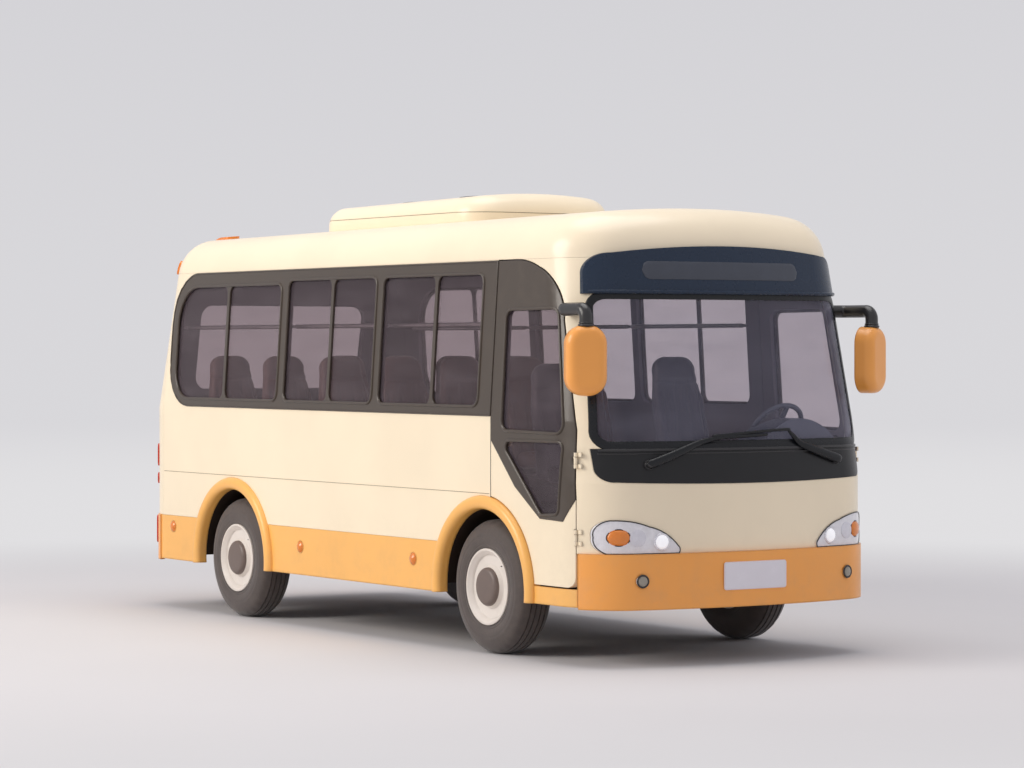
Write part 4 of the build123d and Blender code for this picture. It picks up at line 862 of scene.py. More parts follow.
class MINIBUS_OT_lines(bpy.types.Operator):
    """Shut lines as strips of painted shade, and the soft edge of the window band"""

    bl_idname = "minibus.lines"
    bl_label = "Panel lines"

    def execute(self, context):
        line = context.scene.minibus_seals.shut_line
        section = round_section(line, -line * 0.35)
        wall, band = surface_of("side_walls"), surface_of("window_frames", "side_walls")
        route = [Vector((x, SIDE_LINE_Z)) for x in (WALL_REAR_X, -1.0, 0.5, WALL_FRONT_X)]
        corners = ((BAND_REAR_X, BAND_BASE_Z), (BAND_FRONT_X, BAND_BASE_Z), (BAND_FRONT_X, BAND_TOP_Z),
                   (BAND_REAR_X, BAND_TOP_Z))
        edge = densify(rounded_outline(corners, (BAND_FOOT_R, BAND_FRONT_R, BAND_FRONT_R, BAND_TOP_R)), 0.03)
        for side_name, side in SIDES:
            # the side and rear lines are darker cream strips: painted shade of the grooves
            side_bead(f"side_line_{side_name}", wall, route, section, "shut_line", "root", side, closed=False)
            side_bead(f"band_edge_{side_name}", band, edge, round_section(0.0052), "dark_frame", "root", side)
        front_strip("rear_line", surface_of("rear_panel"), SIDE_LINE_Z, (-0.90, -0.4, 0.4, 0.90), section,
                    "shut_line", way=-1)
        return {"FINISHED"}


# ------------------------------------------------------------------ front
# (y, z) round the left headlamp: start and middle of each arc, then the last arc's end
LAMP_ARCS = (((0.918, 0.650), (0.956, 0.680)), ((0.972, 0.745), (0.957, 0.812)),
             ((0.905, 0.842), (0.800, 0.836)), ((0.690, 0.806), (0.575, 0.758)),
             ((0.503, 0.692), (0.492, 0.670)))
LAMP_END, LAMP_MIDDLE = (0.500, 0.650), Vector((0.735, 0.742))
# the seal lies just inside the lamp's edge
LAMP_INSET = 0.985
SIGN_Y, SIGN_Z = (-0.596, 0.520), (2.214, 2.318)
# (across, out) round each strip
VISOR_LIP = ((-0.010, -0.004), (0.010, -0.004), (0.011, 0.004), (0.005, 0.011), (-0.005, 0.011),
             (-0.011, 0.004))
COWL_SEAM = round_section(0.0045, -0.001)
FOOT_STRIP = ((-0.009, -0.003), (0.009, -0.003), (0.007, 0.007), (-0.007, 0.007))
# level strips on the visor and the cowl: name, node, height, places across, section, finish
STRIPS = (
    ("visor_lip", "sign_visor", 2.142, (-0.893, -0.5, 0.0, 0.5, 0.893), VISOR_LIP, "visor"),
    ("cowl_seam", "wiper_cowl", 1.218, (-0.938, -0.4, 0.0, 0.4, 0.938), COWL_SEAM, "black_plastic"),
    ("glass_foot_strip", "wiper_cowl", 1.238, (-0.934, -0.4, 0.0, 0.4, 0.934), FOOT_STRIP, "black_plastic"),
)
SCREW = ((0.0, -0.002), (0.006, -0.002), (0.0065, 0.0), (0.005, 0.0016), (0.0, 0.0020))
# how far the plate's rim stands outside its edges, and how far the rim and screws are set behind its face
RIM_OUTSIDE, RIM_BACK, SCREW_BACK = 0.001, 0.0045, 0.0022
FORWARD = Vector((1, 0, 0))


class MINIBUS_OT_front(bpy.types.Operator):
    """Blank sign, visor lip, cowl seam, headlamp seals and the plate's rim and screws"""

    bl_idname = "minibus.front"
    bl_label = "Front trim"

    def execute(self, context):
        draped_panel("sign_window", surface_of("sign_visor"), SIGN_Y, SIGN_Z, 0.050, 0.0040, "sign_window")
        for name, node, z, across, section, finish in STRIPS:
            front_strip(name, surface_of(node), z, across, section, finish)
        ends = [start for start, _ in LAMP_ARCS[1:]] + [LAMP_END]
        ring = [p for (start, middle), end in zip(LAMP_ARCS, ends) for p in arc_through(start, middle, end)]
        ring = [LAMP_MIDDLE + (p - LAMP_MIDDLE) * LAMP_INSET for p in (*ring, Vector(LAMP_END))]
        for side_name, side in SIDES:
            outline = [Vector((side * p.x, p.y)) for p in ring]
            front_bead(f"headlamp_seal_{side_name}", surface_of("headlamps"), outline, round_section(0.0036))
        (_, y0, z0), (x, y1, z1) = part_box("front_plate")
        cy, cz = (y0 + y1) / 2, (z0 + z1) / 2
        hy, hz = (y1 - y0) / 2 + RIM_OUTSIDE, (z1 - z0) / 2 + RIM_OUTSIDE
        path = [Vector((x - RIM_BACK, cy + p.x, cz + p.y)) for p in box_outline((-hy, hy), (-hz, hz), 0.012)]
        bead("plate_rim", path, [FORWARD] * len(path), round_section(0.0044, 0.0, 10), "plate_rim")
        places = [(x - SCREW_BACK, cy + dy, cz + 0.052) for dy in (-0.135, 0.135)]
        joined("plate_screws", [turned_shape(SCREW, at, FORWARD, 16) for at in places], "plate_rim")
        return {"FINISHED"}


# ------------------------------------------------------------------ lamps
MAIN_LAMP, FAINT_LAMP, TURN_LAMP, FOG_LAMP = (0.611, 0.717), (0.757, 0.740), (0.858, 0.744), (0.743, 0.497)
# (radius, height) of the domed lenses
MAIN_DOME = ((0.0, -0.004), (0.041, -0.004), (0.0405, 0.004), (0.036, 0.0095), (0.026, 0.0135),
             (0.013, 0.0155), (0.0, 0.0160))
FAINT_DOME = ((0.0, -0.003), (0.050, -0.003), (0.0495, 0.001), (0.044, 0.0035), (0.036, 0.0030),
              (0.026, 0.0052), (0.012, 0.0065), (0.0, 0.0068))
MAIN_SIDES = 40
# (radius, thickness, lift) of the rings round them, and (radius, thickness) round a marker
MAIN_RINGS, FOG_RING = ((0.047, 0.0045, 0.0008), (0.0415, 0.0028, 0.003)), (0.0335, 0.0055, -0.001)
MARKER_RING = (0.0395, 0.0032)
FOG_DOME = ((0.0, -0.004), (0.029, -0.004), (0.0285, 0.0015), (0.022, 0.0045), (0.011, 0.0060), (0.0, 0.0064))
# the indicator is an ellipse laid on the skin: half sizes of its bezel and lens, and (share of them, lift)
TURN_BEZEL, TURN_LENS, TURN_SIDES = (0.0585, 0.0475), (0.0550, 0.0440), 36
TURN_DOME = ((1.0, -0.004), (0.98, 0.004), (0.86, 0.0095), (0.64, 0.0135), (0.34, 0.0160), (0.05, 0.0168))
# (x, z) of the round markers on the skirts
MARKERS, MARKER_AHEAD = ((-2.407, 0.574), (-0.601, 0.525), (0.810, 0.526)), 0.055


class MINIBUS_OT_lamps(bpy.types.Operator):
    """Bezels and lenses of the lamps"""

    bl_idname = "minibus.lamps"
    bl_label = "Lamps"

    def execute(self, context):
        lamps, fog, skirts = surface_of("headlamps"), surface_of("fog_lamps"), surface_of("skirts")
        lamp_or_skin = surface_of("headlamps", "front_panel")
        amber_or_skin = surface_of("headlamps", "amber_lamps", "front_panel")
        for side_name, side in SIDES:
            at, out = spot(lamps, side * MAIN_LAMP[0], MAIN_LAMP[1])
            rings = [ring_shape(r, thick, at + out * lift, out, MAIN_SIDES) for r, thick, lift in MAIN_RINGS]
            joined(f"main_beam_bezel_{side_name}", rings, "bowl_silver")
            joined(f"main_beam_{side_name}", [turned_shape(MAIN_DOME, at, out, MAIN_SIDES)], "bright_lens")
            at, out = spot(lamps, side * FAINT_LAMP[0], FAINT_LAMP[1])
            joined(f"position_lens_{side_name}", [turned_shape(FAINT_DOME, at, out, MAIN_SIDES)], "pale_lens")
            middle = Vector((side * TURN_LAMP[0], TURN_LAMP[1]))
            ellipse = [middle + Vector((TURN_BEZEL[0] * c, TURN_BEZEL[1] * s)) for c, s in circle(MAIN_SIDES)]
            front_bead(f"indicator_bezel_{side_name}", lamp_or_skin, ellipse, round_section(0.0030))
            points = []
            for share, lift in TURN_DOME:
                for c, s in circle(TURN_SIDES):
                    place = middle + Vector((TURN_LENS[0] * c, TURN_LENS[1] * s)) * share
                    hit, normal = onto_front(amber_or_skin, *place)
                    points.append(hit + normal * lift)
            faces = ring_faces(len(TURN_DOME), TURN_SIDES)
            mesh_piece(f"indicator_{side_name}", points, faces, "amber_lens", smooth=60.0)
            at, out = spot(fog, side * FOG_LAMP[0], FOG_LAMP[1])
            radius, thick, lift = FOG_RING
            joined(f"fog_bezel_{side_name}", [ring_shape(radius, thick, at + out * lift, out)])
            joined(f"fog_lens_{side_name}", [turned_shape(FOG_DOME, at, out)], "fog_lens")
        rings = []
        for _, side in SIDES:
            for x, z in MARKERS:
                # the skin is met just ahead of the marker, which would hide it
                hit, out = onto_side(skirts, x + MARKER_AHEAD, z, side)
                if hit:
                    rings.append(ring_shape(*MARKER_RING, (x, hit.y, z), out))
        # the skirt markers' bezels wear the paler side orange: painted light of the lit sides
        joined("marker_bezels", rings, "faded_orange")
        return {"FINISHED"}


# ------------------------------------------------------------------ wipers
# (y, z) along each arm from its pivot, and the arm's radius there
WIPER_ARMS = (
    (((-0.677, 1.155), (-0.58, 1.187), (-0.473, 1.226), (-0.38, 1.262), (-0.298, 1.286), (-0.20, 1.300)),
     (0.027, 0.027, 0.025, 0.020, 0.0145, 0.009)),
    (((0.684, 1.163), (0.60, 1.188), (0.52, 1.212), (0.44, 1.236), (0.383, 1.258), (0.335, 1.300),
      (0.300, 1.333)), (0.027, 0.027, 0.026, 0.023, 0.019, 0.014, 0.009)),
)
WIPER_BLADES = (
    ((-0.309, 1.290), (-0.20, 1.300), (-0.089, 1.304), (0.02, 1.309), (0.127, 1.312)),
    ((-0.250, 1.309), (-0.10, 1.319), (0.097, 1.332), (0.20, 1.338), (0.306, 1.341)),
)
PIVOT = ((0.0, -0.01), (0.030, -0.01), (0.030, 0.004), (0.026, 0.010), (0.022, 0.011), (0.021, 0.028),
         (0.016, 0.035), (0.0, 0.037))
ARM_STEPS = 5


class MINIBUS_OT_wipers(bpy.types.Operator):
    """Tapered wiper arms with their pivots, bows and rubber blades"""

    bl_idname = "minibus.wipers"
    bl_label = "Wipers"

    def execute(self, context):
        skin = surface_of("windshield", "wiper_cowl", "front_panel", "window_frames")

        def lay(route, lift, steps):
            found = (onto_front(skin, y, z) for y, z in route)
            return smooth_path([hit + normal * lift for hit, normal in found], steps)

        arms, blades, pivots = [], [], []
        for route, radii in WIPER_ARMS:
            spine = lay(route, 0.020, ARM_STEPS)
            radii = (*radii, radii[-1])
            widths = []
            for i in range(len(spine)):
                knot, share = i // ARM_STEPS, i % ARM_STEPS / ARM_STEPS
                widths.append(radii[knot] + (radii[knot + 1] - radii[knot]) * share)
            arms.append(tube_shape(spine, widths, 14, 0.72, FORWARD))
            pivots.append(turned_shape(PIVOT, *spot(skin, *route[0]), 28))
        # each blade: a bow of sprung steel over a rubber edge
        for route in WIPER_BLADES:
            arms.append(tube_shape(lay(route, 0.021, 4), 0.0090, 10, 0.8, FORWARD))
            blades.append(tube_shape(lay(route, 0.0070, 4), 0.0045, 8, 1.3, FORWARD))
        for piece in (joined("wiper_arms", arms, "gloss_black"), joined("wiper_blades", blades),
                      joined("wiper_pivots", pivots)):
            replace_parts(piece, "wipers")
        return {"FINISHED"}


# ------------------------------------------------------------------ mirrors
MIRROR_HEAD, MIRROR_YAW = (2.683, 1.039, 1.748), math.radians(25.0)
# the rim's distance behind the head's middle, its half sizes and the radius of its corners
MIRROR_BACK, MIRROR_HALF_Y, MIRROR_HALF_Z, MIRROR_CORNER = 0.0585, 0.103, 0.185, 0.090
# (height above the head's middle, thickness) of the collar's rings
COLLAR = ((0.200, 0.0085), (0.214, 0.0045))


class MINIBUS_OT_mirrors(bpy.types.Operator):
    """Rims round the mirror glasses and collars on the arms"""

    bl_idname = "minibus.mirrors"
    bl_label = "Mirrors"

    def execute(self, context):
        outline = box_outline((-MIRROR_HALF_Y, MIRROR_HALF_Y), (-MIRROR_HALF_Z, MIRROR_HALF_Z), MIRROR_CORNER)
        up = Vector((0, 0, 1))
        for side_name, side in SIDES:
            head = Vector((MIRROR_HEAD[0], side * MIRROR_HEAD[1], MIRROR_HEAD[2]))
            turn = Matrix.Rotation(MIRROR_YAW * side, 3, "Z")
            back, across = turn @ -FORWARD, turn @ Vector((0, 1, 0))
            path = [head + back * MIRROR_BACK + across * p.x + up * p.y for p in outline]
            bead(f"mirror_rim_{side_name}", path, [back] * len(path), round_section(0.0060))
            rings = [ring_shape(0.0385, thick, head + up * rise, up) for rise, thick in COLLAR]
            joined(f"mirror_collar_{side_name}", rings)
        return {"FINISHED"}


# ------------------------------------------------------------------ roof unit
COVER_LINE_Z = 2.672
FANS_X, FAN_RINGS, SPOKE_R = (-0.62, 0.10), (0.045, 0.075, 0.105, 0.135, 0.165, 0.192), (0.04, 0.125, 0.208)
# (radius, thickness) of a grille's rim, and the thickness of its rings
FAN_RIM, FAN_WIRE = (0.215, 0.0075), 0.0032
FAN_HUB = ((0.0, -0.006), (0.040, -0.006), (0.039, -0.001), (0.030, 0.0010), (0.0, 0.0014))


class MINIBUS_OT_roof(bpy.types.Operator):
    """Cover line and fan grilles of the roof air conditioner"""

    bl_idname = "minibus.roof"
    bl_label = "Roof unit"

    def execute(self, context):
        unit = surface_of("air_conditioner")
        low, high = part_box("air_conditioner")
        middle = Vector(((low[0] + high[0]) / 2, 0.0, COVER_LINE_Z))
        path, normals = around(unit, middle, [(c, s * 0.55, 0) for c, s in circle(200)], 4.0)
        # the cover line is a strip of darker cream: painted shade of the joint between cover and base
        bead("cover_line", path, normals, round_section(0.0030, -0.0012), "shut_line")
        # two round fan grilles let into the top: a rim, rings, spokes and a hub
        parts = []
        for x in FANS_X:
            hit, normal = touch(unit, (x, 0, 4), (0, 0, -1))
            parts.append(ring_shape(*FAN_RIM, hit - normal * 0.0045, normal, 64))
            parts += [ring_shape(r, FAN_WIRE, hit - normal * 0.0012, normal, 56, 8) for r in FAN_RINGS]
            turn = facing(hit, normal).to_3x3()
            for c, s in circle(8):
                out = turn @ Vector((c, s, 0))
                spoke = [hit + out * r for r in SPOKE_R]
                parts.append(tube_shape(spoke, 0.0028, 8, 1.0, normal))
            parts.append(turned_shape(FAN_HUB, hit, normal))
        joined("fan_grilles", parts)
        return {"FINISHED"}


# ------------------------------------------------------------------ wheels
AXLES_X = {"front": 1.585, "rear": -1.550}
TYRE_R, WHEEL_Z = 0.400, 0.400
# (radius, distance from the tyre's middle plane) of half the tyre's section, bead to tread
TYRE_HALF = ((0.209, 0.100), (0.226, 0.1055), (0.239, 0.110), (0.247, 0.1135), (0.252, 0.1125),
             (0.262, 0.1160), (0.286, 0.1175), (0.298, 0.1178), (0.303, 0.1165), (0.308, 0.1178),
             (0.322, 0.1150), (0.345, 0.1082), (0.359, 0.1030), (0.372, 0.0950), (0.382, 0.0842),
             (0.390, 0.0712), (0.3935, 0.0640))
# (distance from the tyre's middle plane, half width) of the grooves, their depth, and the crown's fall
GROOVES, GROOVE_DEEP, CROWN = ((0.0520, 0.0042), (0.0185, 0.0042)), 0.009, 1.1
TYRE_SIDES, SIPE_DEEP = 120, 0.0045
HUB_CAP = ((0.0, -0.030), (0.1165, -0.030), (0.1150, -0.0160), (0.1120, -0.0105), (0.1060, -0.0040),
           (0.0990, 0.0004), (0.0850, 0.0022), (0.0600, 0.0028), (0.0, 0.0032))
HUB_FACE_Y, VALVE_Y, VALVE_REACH = 1.0128, 0.962, 0.128


class MINIBUS_OT_wheels(bpy.types.Operator):
    """Treaded tyres, hub caps and valves"""

    bl_idname = "minibus.wheels"
    bl_label = "Wheels"

    def execute(self, context):
        for end, x in AXLES_X.items():
            for side_name, side in SIDES:
                wheel = f"{end}_{side_name}"
                body, out = f"wheel_{wheel}", Vector((0, side, 0))
                low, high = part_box(f"tyre_{wheel}")
                tread = self.tyre(f"tread_{wheel}", x, (low[1] + high[1]) / 2, body)
                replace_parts(tread, f"tyre_{wheel}")
                cap = turned_shape(HUB_CAP, (x, side * HUB_FACE_Y, WHEEL_Z), out, 56)
                joined(f"hub_cap_{wheel}", [cap], "hub_cap", body)
                # short rubber valve in the dish, close to the lip
                foot = Vector((x + VALVE_REACH, side * VALVE_Y, WHEEL_Z + VALVE_REACH))
                valve = tube_shape([foot, foot + out * 0.012, foot + out * 0.020], (0.0050, 0.0044, 0.0034))
                joined(f"rim_valve_{wheel}", [valve], body=body)
        return {"FINISHED"}

    def tyre(self, name, x, y, body):
        """Tyre with grooves round the tread and short cuts across its shoulders."""
        half = list(TYRE_HALF)
        for centre, width in GROOVES:
            for share, deep in ((1.05, 0.0), (0.75, GROOVE_DEEP), (-0.75, GROOVE_DEEP), (-1.05, 0.0)):
                at = centre + width * share
                half.append((TYRE_R - CROWN * at * at - deep, at))
        points = []
        for r, w in [*half, *((r, -w) for r, w in reversed(half))]:
            shoulder = 0.058 < abs(w) < 0.09 and r > 0.38
            for k, (c, s) in enumerate(circle(TYRE_SIDES)):
                reach = r - (SIPE_DEEP if shoulder and k % 4 == 0 else 0.0)
                points.append(Vector((x + reach * c, y + w, WHEEL_Z + reach * s)))
        faces = ring_faces(2 * len(half), TYRE_SIDES, closed=True)
        return mesh_piece(name, points, faces, "tyre_rubber", body, 30.0)


# ------------------------------------------------------------------ seats
SEAT_HALF, CUSHION_LONG, CUSHION_TOP_Z, CUSHION_DEEP = 0.210, 0.440, 1.150, 0.110
BACK_DEEP, BACK_TALL, BACK_TILT = 0.105, 0.770, math.radians(12.0)
SEAT_ROWS_X, SEAT_ROWS_Y = (0.250, -0.520, -1.290, -2.060), (-0.690, 0.690, 0.245)
# x and y of the root of the back, and how far the cushion lies below the common height
CAB_SEATS = {"driver": (1.640, 0.450, 0.0), "mate": (1.640, -0.450, -0.040)}
CLOTH_STEPS, CLOTH_STIFFNESS = 20, 12.0
# a cushion's pan lies inside its edges; its post stands on a foot, between two rails under the pan
PAN_INSET_X, PAN_INSET_Y, PAN_HALF_THICK = 0.02, 0.03, 0.012
POST_HALF_X, POST_HALF_Y, FOOT_HALF_X, FOOT_HALF_Y, RAIL_Y = 0.075, 0.085, 0.15, 0.12, 0.11
# a pedestal shorter than this is left out, and one over nothing reaches this far down
POST_SHORTEST, POST_LONGEST = 0.03, 0.3
# how far inside its final outline a pad starts, in swells, and how many of those its depth loses
SWELL_INSET, DEPTH_INSET = 0.75, 1.6
# the upholstery's seams: (depth, width) of the back's and of the cushion's
BACK_SEAM, CUSHION_SEAM = (0.011, 0.016), (0.010, 0.016)


def pad_start(outline, deep, bulge):
    """Closed form of a pad: an outline with rounded rims, thicker where bulge says."""
    rim = deep * 0.42
    rings = []
    for step in range(7):
        turn = math.pi * (step / 6 - 0.5)
        lift = rim * math.sin(turn)
        flat_half = (deep / 2 - rim) * (1 if lift > 0 else -1 if lift < 0 else 0)
        rings.append((rim * (1 - math.cos(turn)), lift + flat_half))
    points, faces = shrunk(densify([Vector(p) for p in outline], 0.02), rings)
    for point in points:
        if point.z > 0:
            point.z += bulge(point.x, point.y)
    return points, faces


def as_evaluated(holder):
    """Mesh of an object as its modifiers make it."""
    return bpy.data.meshes.new_from_object(holder.evaluated_get(bpy.context.evaluated_depsgraph_get()))


def inflate(name, shape, settings):
    """Remesh a pad, blow it up as cloth, and keep each point within the allowed swell."""
    scene = bpy.context.scene
    mesh = bpy.data.meshes.new(name)
    mesh.from_pydata([tuple(p) for p in shape[0]], [], shape[1])
    holder = bpy.data.objects.new(name, mesh)
    scene.collection.objects.link(holder)
    remesh = holder.modifiers.new("remesh", "REMESH")
    remesh.mode, remesh.voxel_size, remesh.use_smooth_shade = "VOXEL", settings.voxel, True
    start = as_evaluated(holder)
    holder.modifiers.clear()
    holder.data = start
    cloth = holder.modifiers.new("cloth", "CLOTH")
    cloth.settings.use_pressure = True
    cloth.settings.uniform_pressure_force = settings.pressure
    cloth.settings.tension_stiffness = cloth.settings.compression_stiffness = CLOTH_STIFFNESS
    cloth.settings.effector_weights.gravity = 0.0
    cloth.point_cache.frame_start, cloth.point_cache.frame_end = 1, CLOTH_STEPS
    for step in range(1, CLOTH_STEPS + 1):
        scene.frame_set(step)
    blown = as_evaluated(holder)
    for vertex, before in zip(blown.vertices, start.vertices):
        move = vertex.co - before.co
        if move.length > settings.swell:
            vertex.co = before.co + move.normalized() * settings.swell
    scene.frame_set(1)
    bpy.data.objects.remove(holder)
    return blown


def sew(mesh, seams, deep, width):
    """Press seams into the front of a pad. Each seam runs between two (across, along) places."""
    seams = [(Vector(a), Vector(b) - Vector(a)) for a, b in seams]
    for vertex in mesh.vertices:
        if vertex.normal.z < 0.15:
            continue
        here = vertex.co.xy
        nearest = width
        for a, run in seams:
            share = max(0.0, min(1.0, (here - a).dot(run) / run.length_squared))
            nearest = min(nearest, (here - a - run * share).length)
        if nearest < width:
            vertex.co.z -= deep * (1 - (nearest / width) ** 2) ** 2
    mesh.update()


def back_pad(settings, half, inset):
    """Mesh of a seat's back: swollen edges, a lumbar bulge, two channels and a headrest seam."""
    tall = BACK_TALL - inset
    right = ((half, 0.01), (half * 0.99, 0.47), (half * 0.80, 0.66), (half * 0.77, tall))
    corners = ((-half, 0.01), *right, *((-x, y) for x, y in reversed(right[1:])))
    outline = rounded_outline(corners, (0.045, 0.045, 0.08, 0.05, 0.095, 0.095, 0.05, 0.08))

    def bulge(u, v):
        return 0.012 * math.exp(-((v - 0.2) / 0.12) ** 2) + 0.016 * (abs(u) / half) ** 4 * (v < 0.5)

    mesh = inflate("seat_back", pad_start(outline, BACK_DEEP - DEPTH_INSET * inset, bulge), settings)
    edge = half * 0.68
    runs = ((-edge, 0.06, 0.50), (edge, 0.06, 0.50), (-0.05, 0.08, 0.54), (0.05, 0.08, 0.54))
    channels = [((x, foot), (x, top)) for x, foot, top in runs]
    sew(mesh, [*channels, ((-half, 0.575), (half, 0.575))], *BACK_SEAM)
    return mesh


def cushion_pad(settings, half, inset):
    """Mesh of a seat's cushion: raised edges, a hollow to sit in and sewn channels."""
    front, narrow = CUSHION_LONG - inset, half * 0.97
    corners = ((-half, inset), (half, inset), (narrow, front), (-narrow, front))
    outline = rounded_outline(corners, (0.04, 0.04, 0.07, 0.07))

    def bulge(u, v):
        return 0.014 * (abs(u) / half) ** 4 - 0.010 * math.exp(-((v - 0.16) / 0.1) ** 2)

    mesh = inflate("seat_cushion", pad_start(outline, CUSHION_DEEP - DEPTH_INSET * inset, bulge), settings)
    edge = half * 0.68
    tops = ((-edge, 0.40), (edge, 0.40), (-0.05, 0.33), (0.05, 0.33))
    channels = [((x, 0.05), (x, top)) for x, top in tops]
    sew(mesh, [*channels, ((-edge, 0.345), (edge, 0.345))], *CUSHION_SEAM)
    return mesh


def pedestal(carriers, x, y, low):
    """Pan under a cushion and, where there's room, its post and foot on the highest thing below."""
    front, cx = x + CUSHION_LONG, x + CUSHION_LONG / 2
    tops = []
    for du in (0.08, CUSHION_LONG / 2, CUSHION_LONG - 0.08):
        for dv in (-FOOT_HALF_Y, 0.0, FOOT_HALF_Y):
            hit, _ = touch(carriers, (x + du, y + dv, low - 0.02), (0, 0, -1))
            tops.append(hit.z if hit else low - POST_LONGEST)
    foot = max(tops)
    half = SEAT_HALF - PAN_INSET_Y
    shapes = [bar_shape((x + PAN_INSET_X, y - half, low - PAN_HALF_THICK),
                        (front - PAN_INSET_X, y + half, low + PAN_HALF_THICK), 0.006)]
    if low - foot > POST_SHORTEST:
        rear, fore = cx - FOOT_HALF_X, cx + FOOT_HALF_X
        ends = (rear, y - FOOT_HALF_Y, foot - 0.004), (fore, y + FOOT_HALF_Y, foot + 0.012)
        shapes.append(bar_shape(*ends, 0.005))
        for rail in (y - RAIL_Y, y + RAIL_Y):
            ends = (rear, rail - 0.015, low - 0.035), (fore, rail + 0.015, low - 0.008)
            shapes.append(bar_shape(*ends, 0.004))
        post = box_outline((-POST_HALF_X, POST_HALF_X), (-POST_HALF_Y, POST_HALF_Y), 0.03)
        shapes.append(slab_shape(post, low - 0.02 - foot, 0.004, Matrix.Translation((cx, y, foot))))
    return shapes


class MINIBUS_OT_seats(bpy.types.Operator):
    """Padded seats with sewn channels, on their pedestals"""

    bl_idname = "minibus.seats"
    bl_label = "Seats"

    def execute(self, context):
        settings = context.scene.minibus_seats
        inset = settings.swell * SWELL_INSET
        half = SEAT_HALF - inset
        back, cushion = back_pad(settings, half, inset), cushion_pad(settings, half, inset)
        # a pad's own axes: across, along and out of its face
        sine, cosine = math.sin(BACK_TILT), math.cos(BACK_TILT)
        lean = Matrix(((0, -sine, cosine), (1, 0, 0), (0, cosine, sine)))
        level = Matrix(((0, 1, 0), (1, 0, 0), (0, 0, 1)))
        carriers = surface_of("floor", "engine_cover", "wheel_housings")
        places = {f"row_{i}_{j}": (x, y, 0.0)
                  for i, x in enumerate(SEAT_ROWS_X, 1) for j, y in enumerate(SEAT_ROWS_Y, 1)}
        stands = []
        for name, (x, y, drop) in {**CAB_SEATS, **places}.items():
            node = "driver_seat" if name == "driver" else "passenger_seats"
            finish = "cab_cover" if name in CAB_SEATS else "seat_cover"
            low = CUSHION_TOP_Z + drop - CUSHION_DEEP
            root = Vector((x + 0.020, y, low + 0.010)) + lean @ Vector((0, 0, -BACK_DEEP / 2))
            for kind, mesh, turn, at in (("back", back, lean, root),
                                         ("cushion", cushion, level, Vector((x, y, low + CUSHION_DEEP / 2)))):
                own = mesh.copy()
                own.transform(Matrix.Translation(at) @ turn.to_4x4())
                if turn.determinant() < 0:
                    own.flip_normals()
                pad = dress(bpy.data.objects.new(f"{kind}_{name}", own), finish, "root", 60.0)
                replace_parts(pad, node)
            stands += pedestal(carriers, x, y, low)
        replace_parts(joined("seat_pedestals", stands), "passenger_seats", "driver_seat")
        return {"FINISHED"}


# ------------------------------------------------------------------ cab
WHEEL_CENTRE, COLUMN_TILT = Vector((2.480, 0.470, 1.335)), math.radians(35.0)
HORN_PAD = ((0.0, -0.002), (0.052, -0.002), (0.052, 0.010), (0.047, 0.019), (0.036, 0.023), (0.0, 0.025))
GRIP_R, STITCHES = 0.175, 44
# where the driver's side of the dashboard is looked for from
DASH_LOOK_X = 2.2
# y and radius of each dial, and their height
DIALS, DIALS_Z = ((0.385, 0.050), (0.555, 0.050), (0.470, 0.030)), 1.335
VENTS_Y, VENTS_Z, VENT_HALF = (-0.72, -0.45, -0.10, 0.10), 1.215, (0.075, 0.026)
SLAT = ((-0.066, 0.010), (0, 0.0105), (0.066, 0.010))
# y and half width of each pedal
PEDALS = ((0.34, 0.045), (0.46, 0.045), (0.60, 0.030))
LEVER_FOOT = (2.20, 0.02, 1.5)
LEVER_WAY = ((0, 0, 0), (0.02, 0.01, 0.14), (-0.03, 0.03, 0.30), (-0.05, 0.04, 0.40))
KNOB = ((0.0, -0.03), (0.014, -0.03), (0.022, -0.012), (0.027, 0.006), (0.022, 0.022), (0.010, 0.029),
        (0.0, 0.030))
GAITER = ((0.0, -0.004), (0.085, -0.004), (0.080, 0.010), (0.058, 0.020), (0.060, 0.030), (0.040, 0.045),
          (0.042, 0.055), (0.022, 0.075), (0.012, 0.090), (0.0, 0.091))


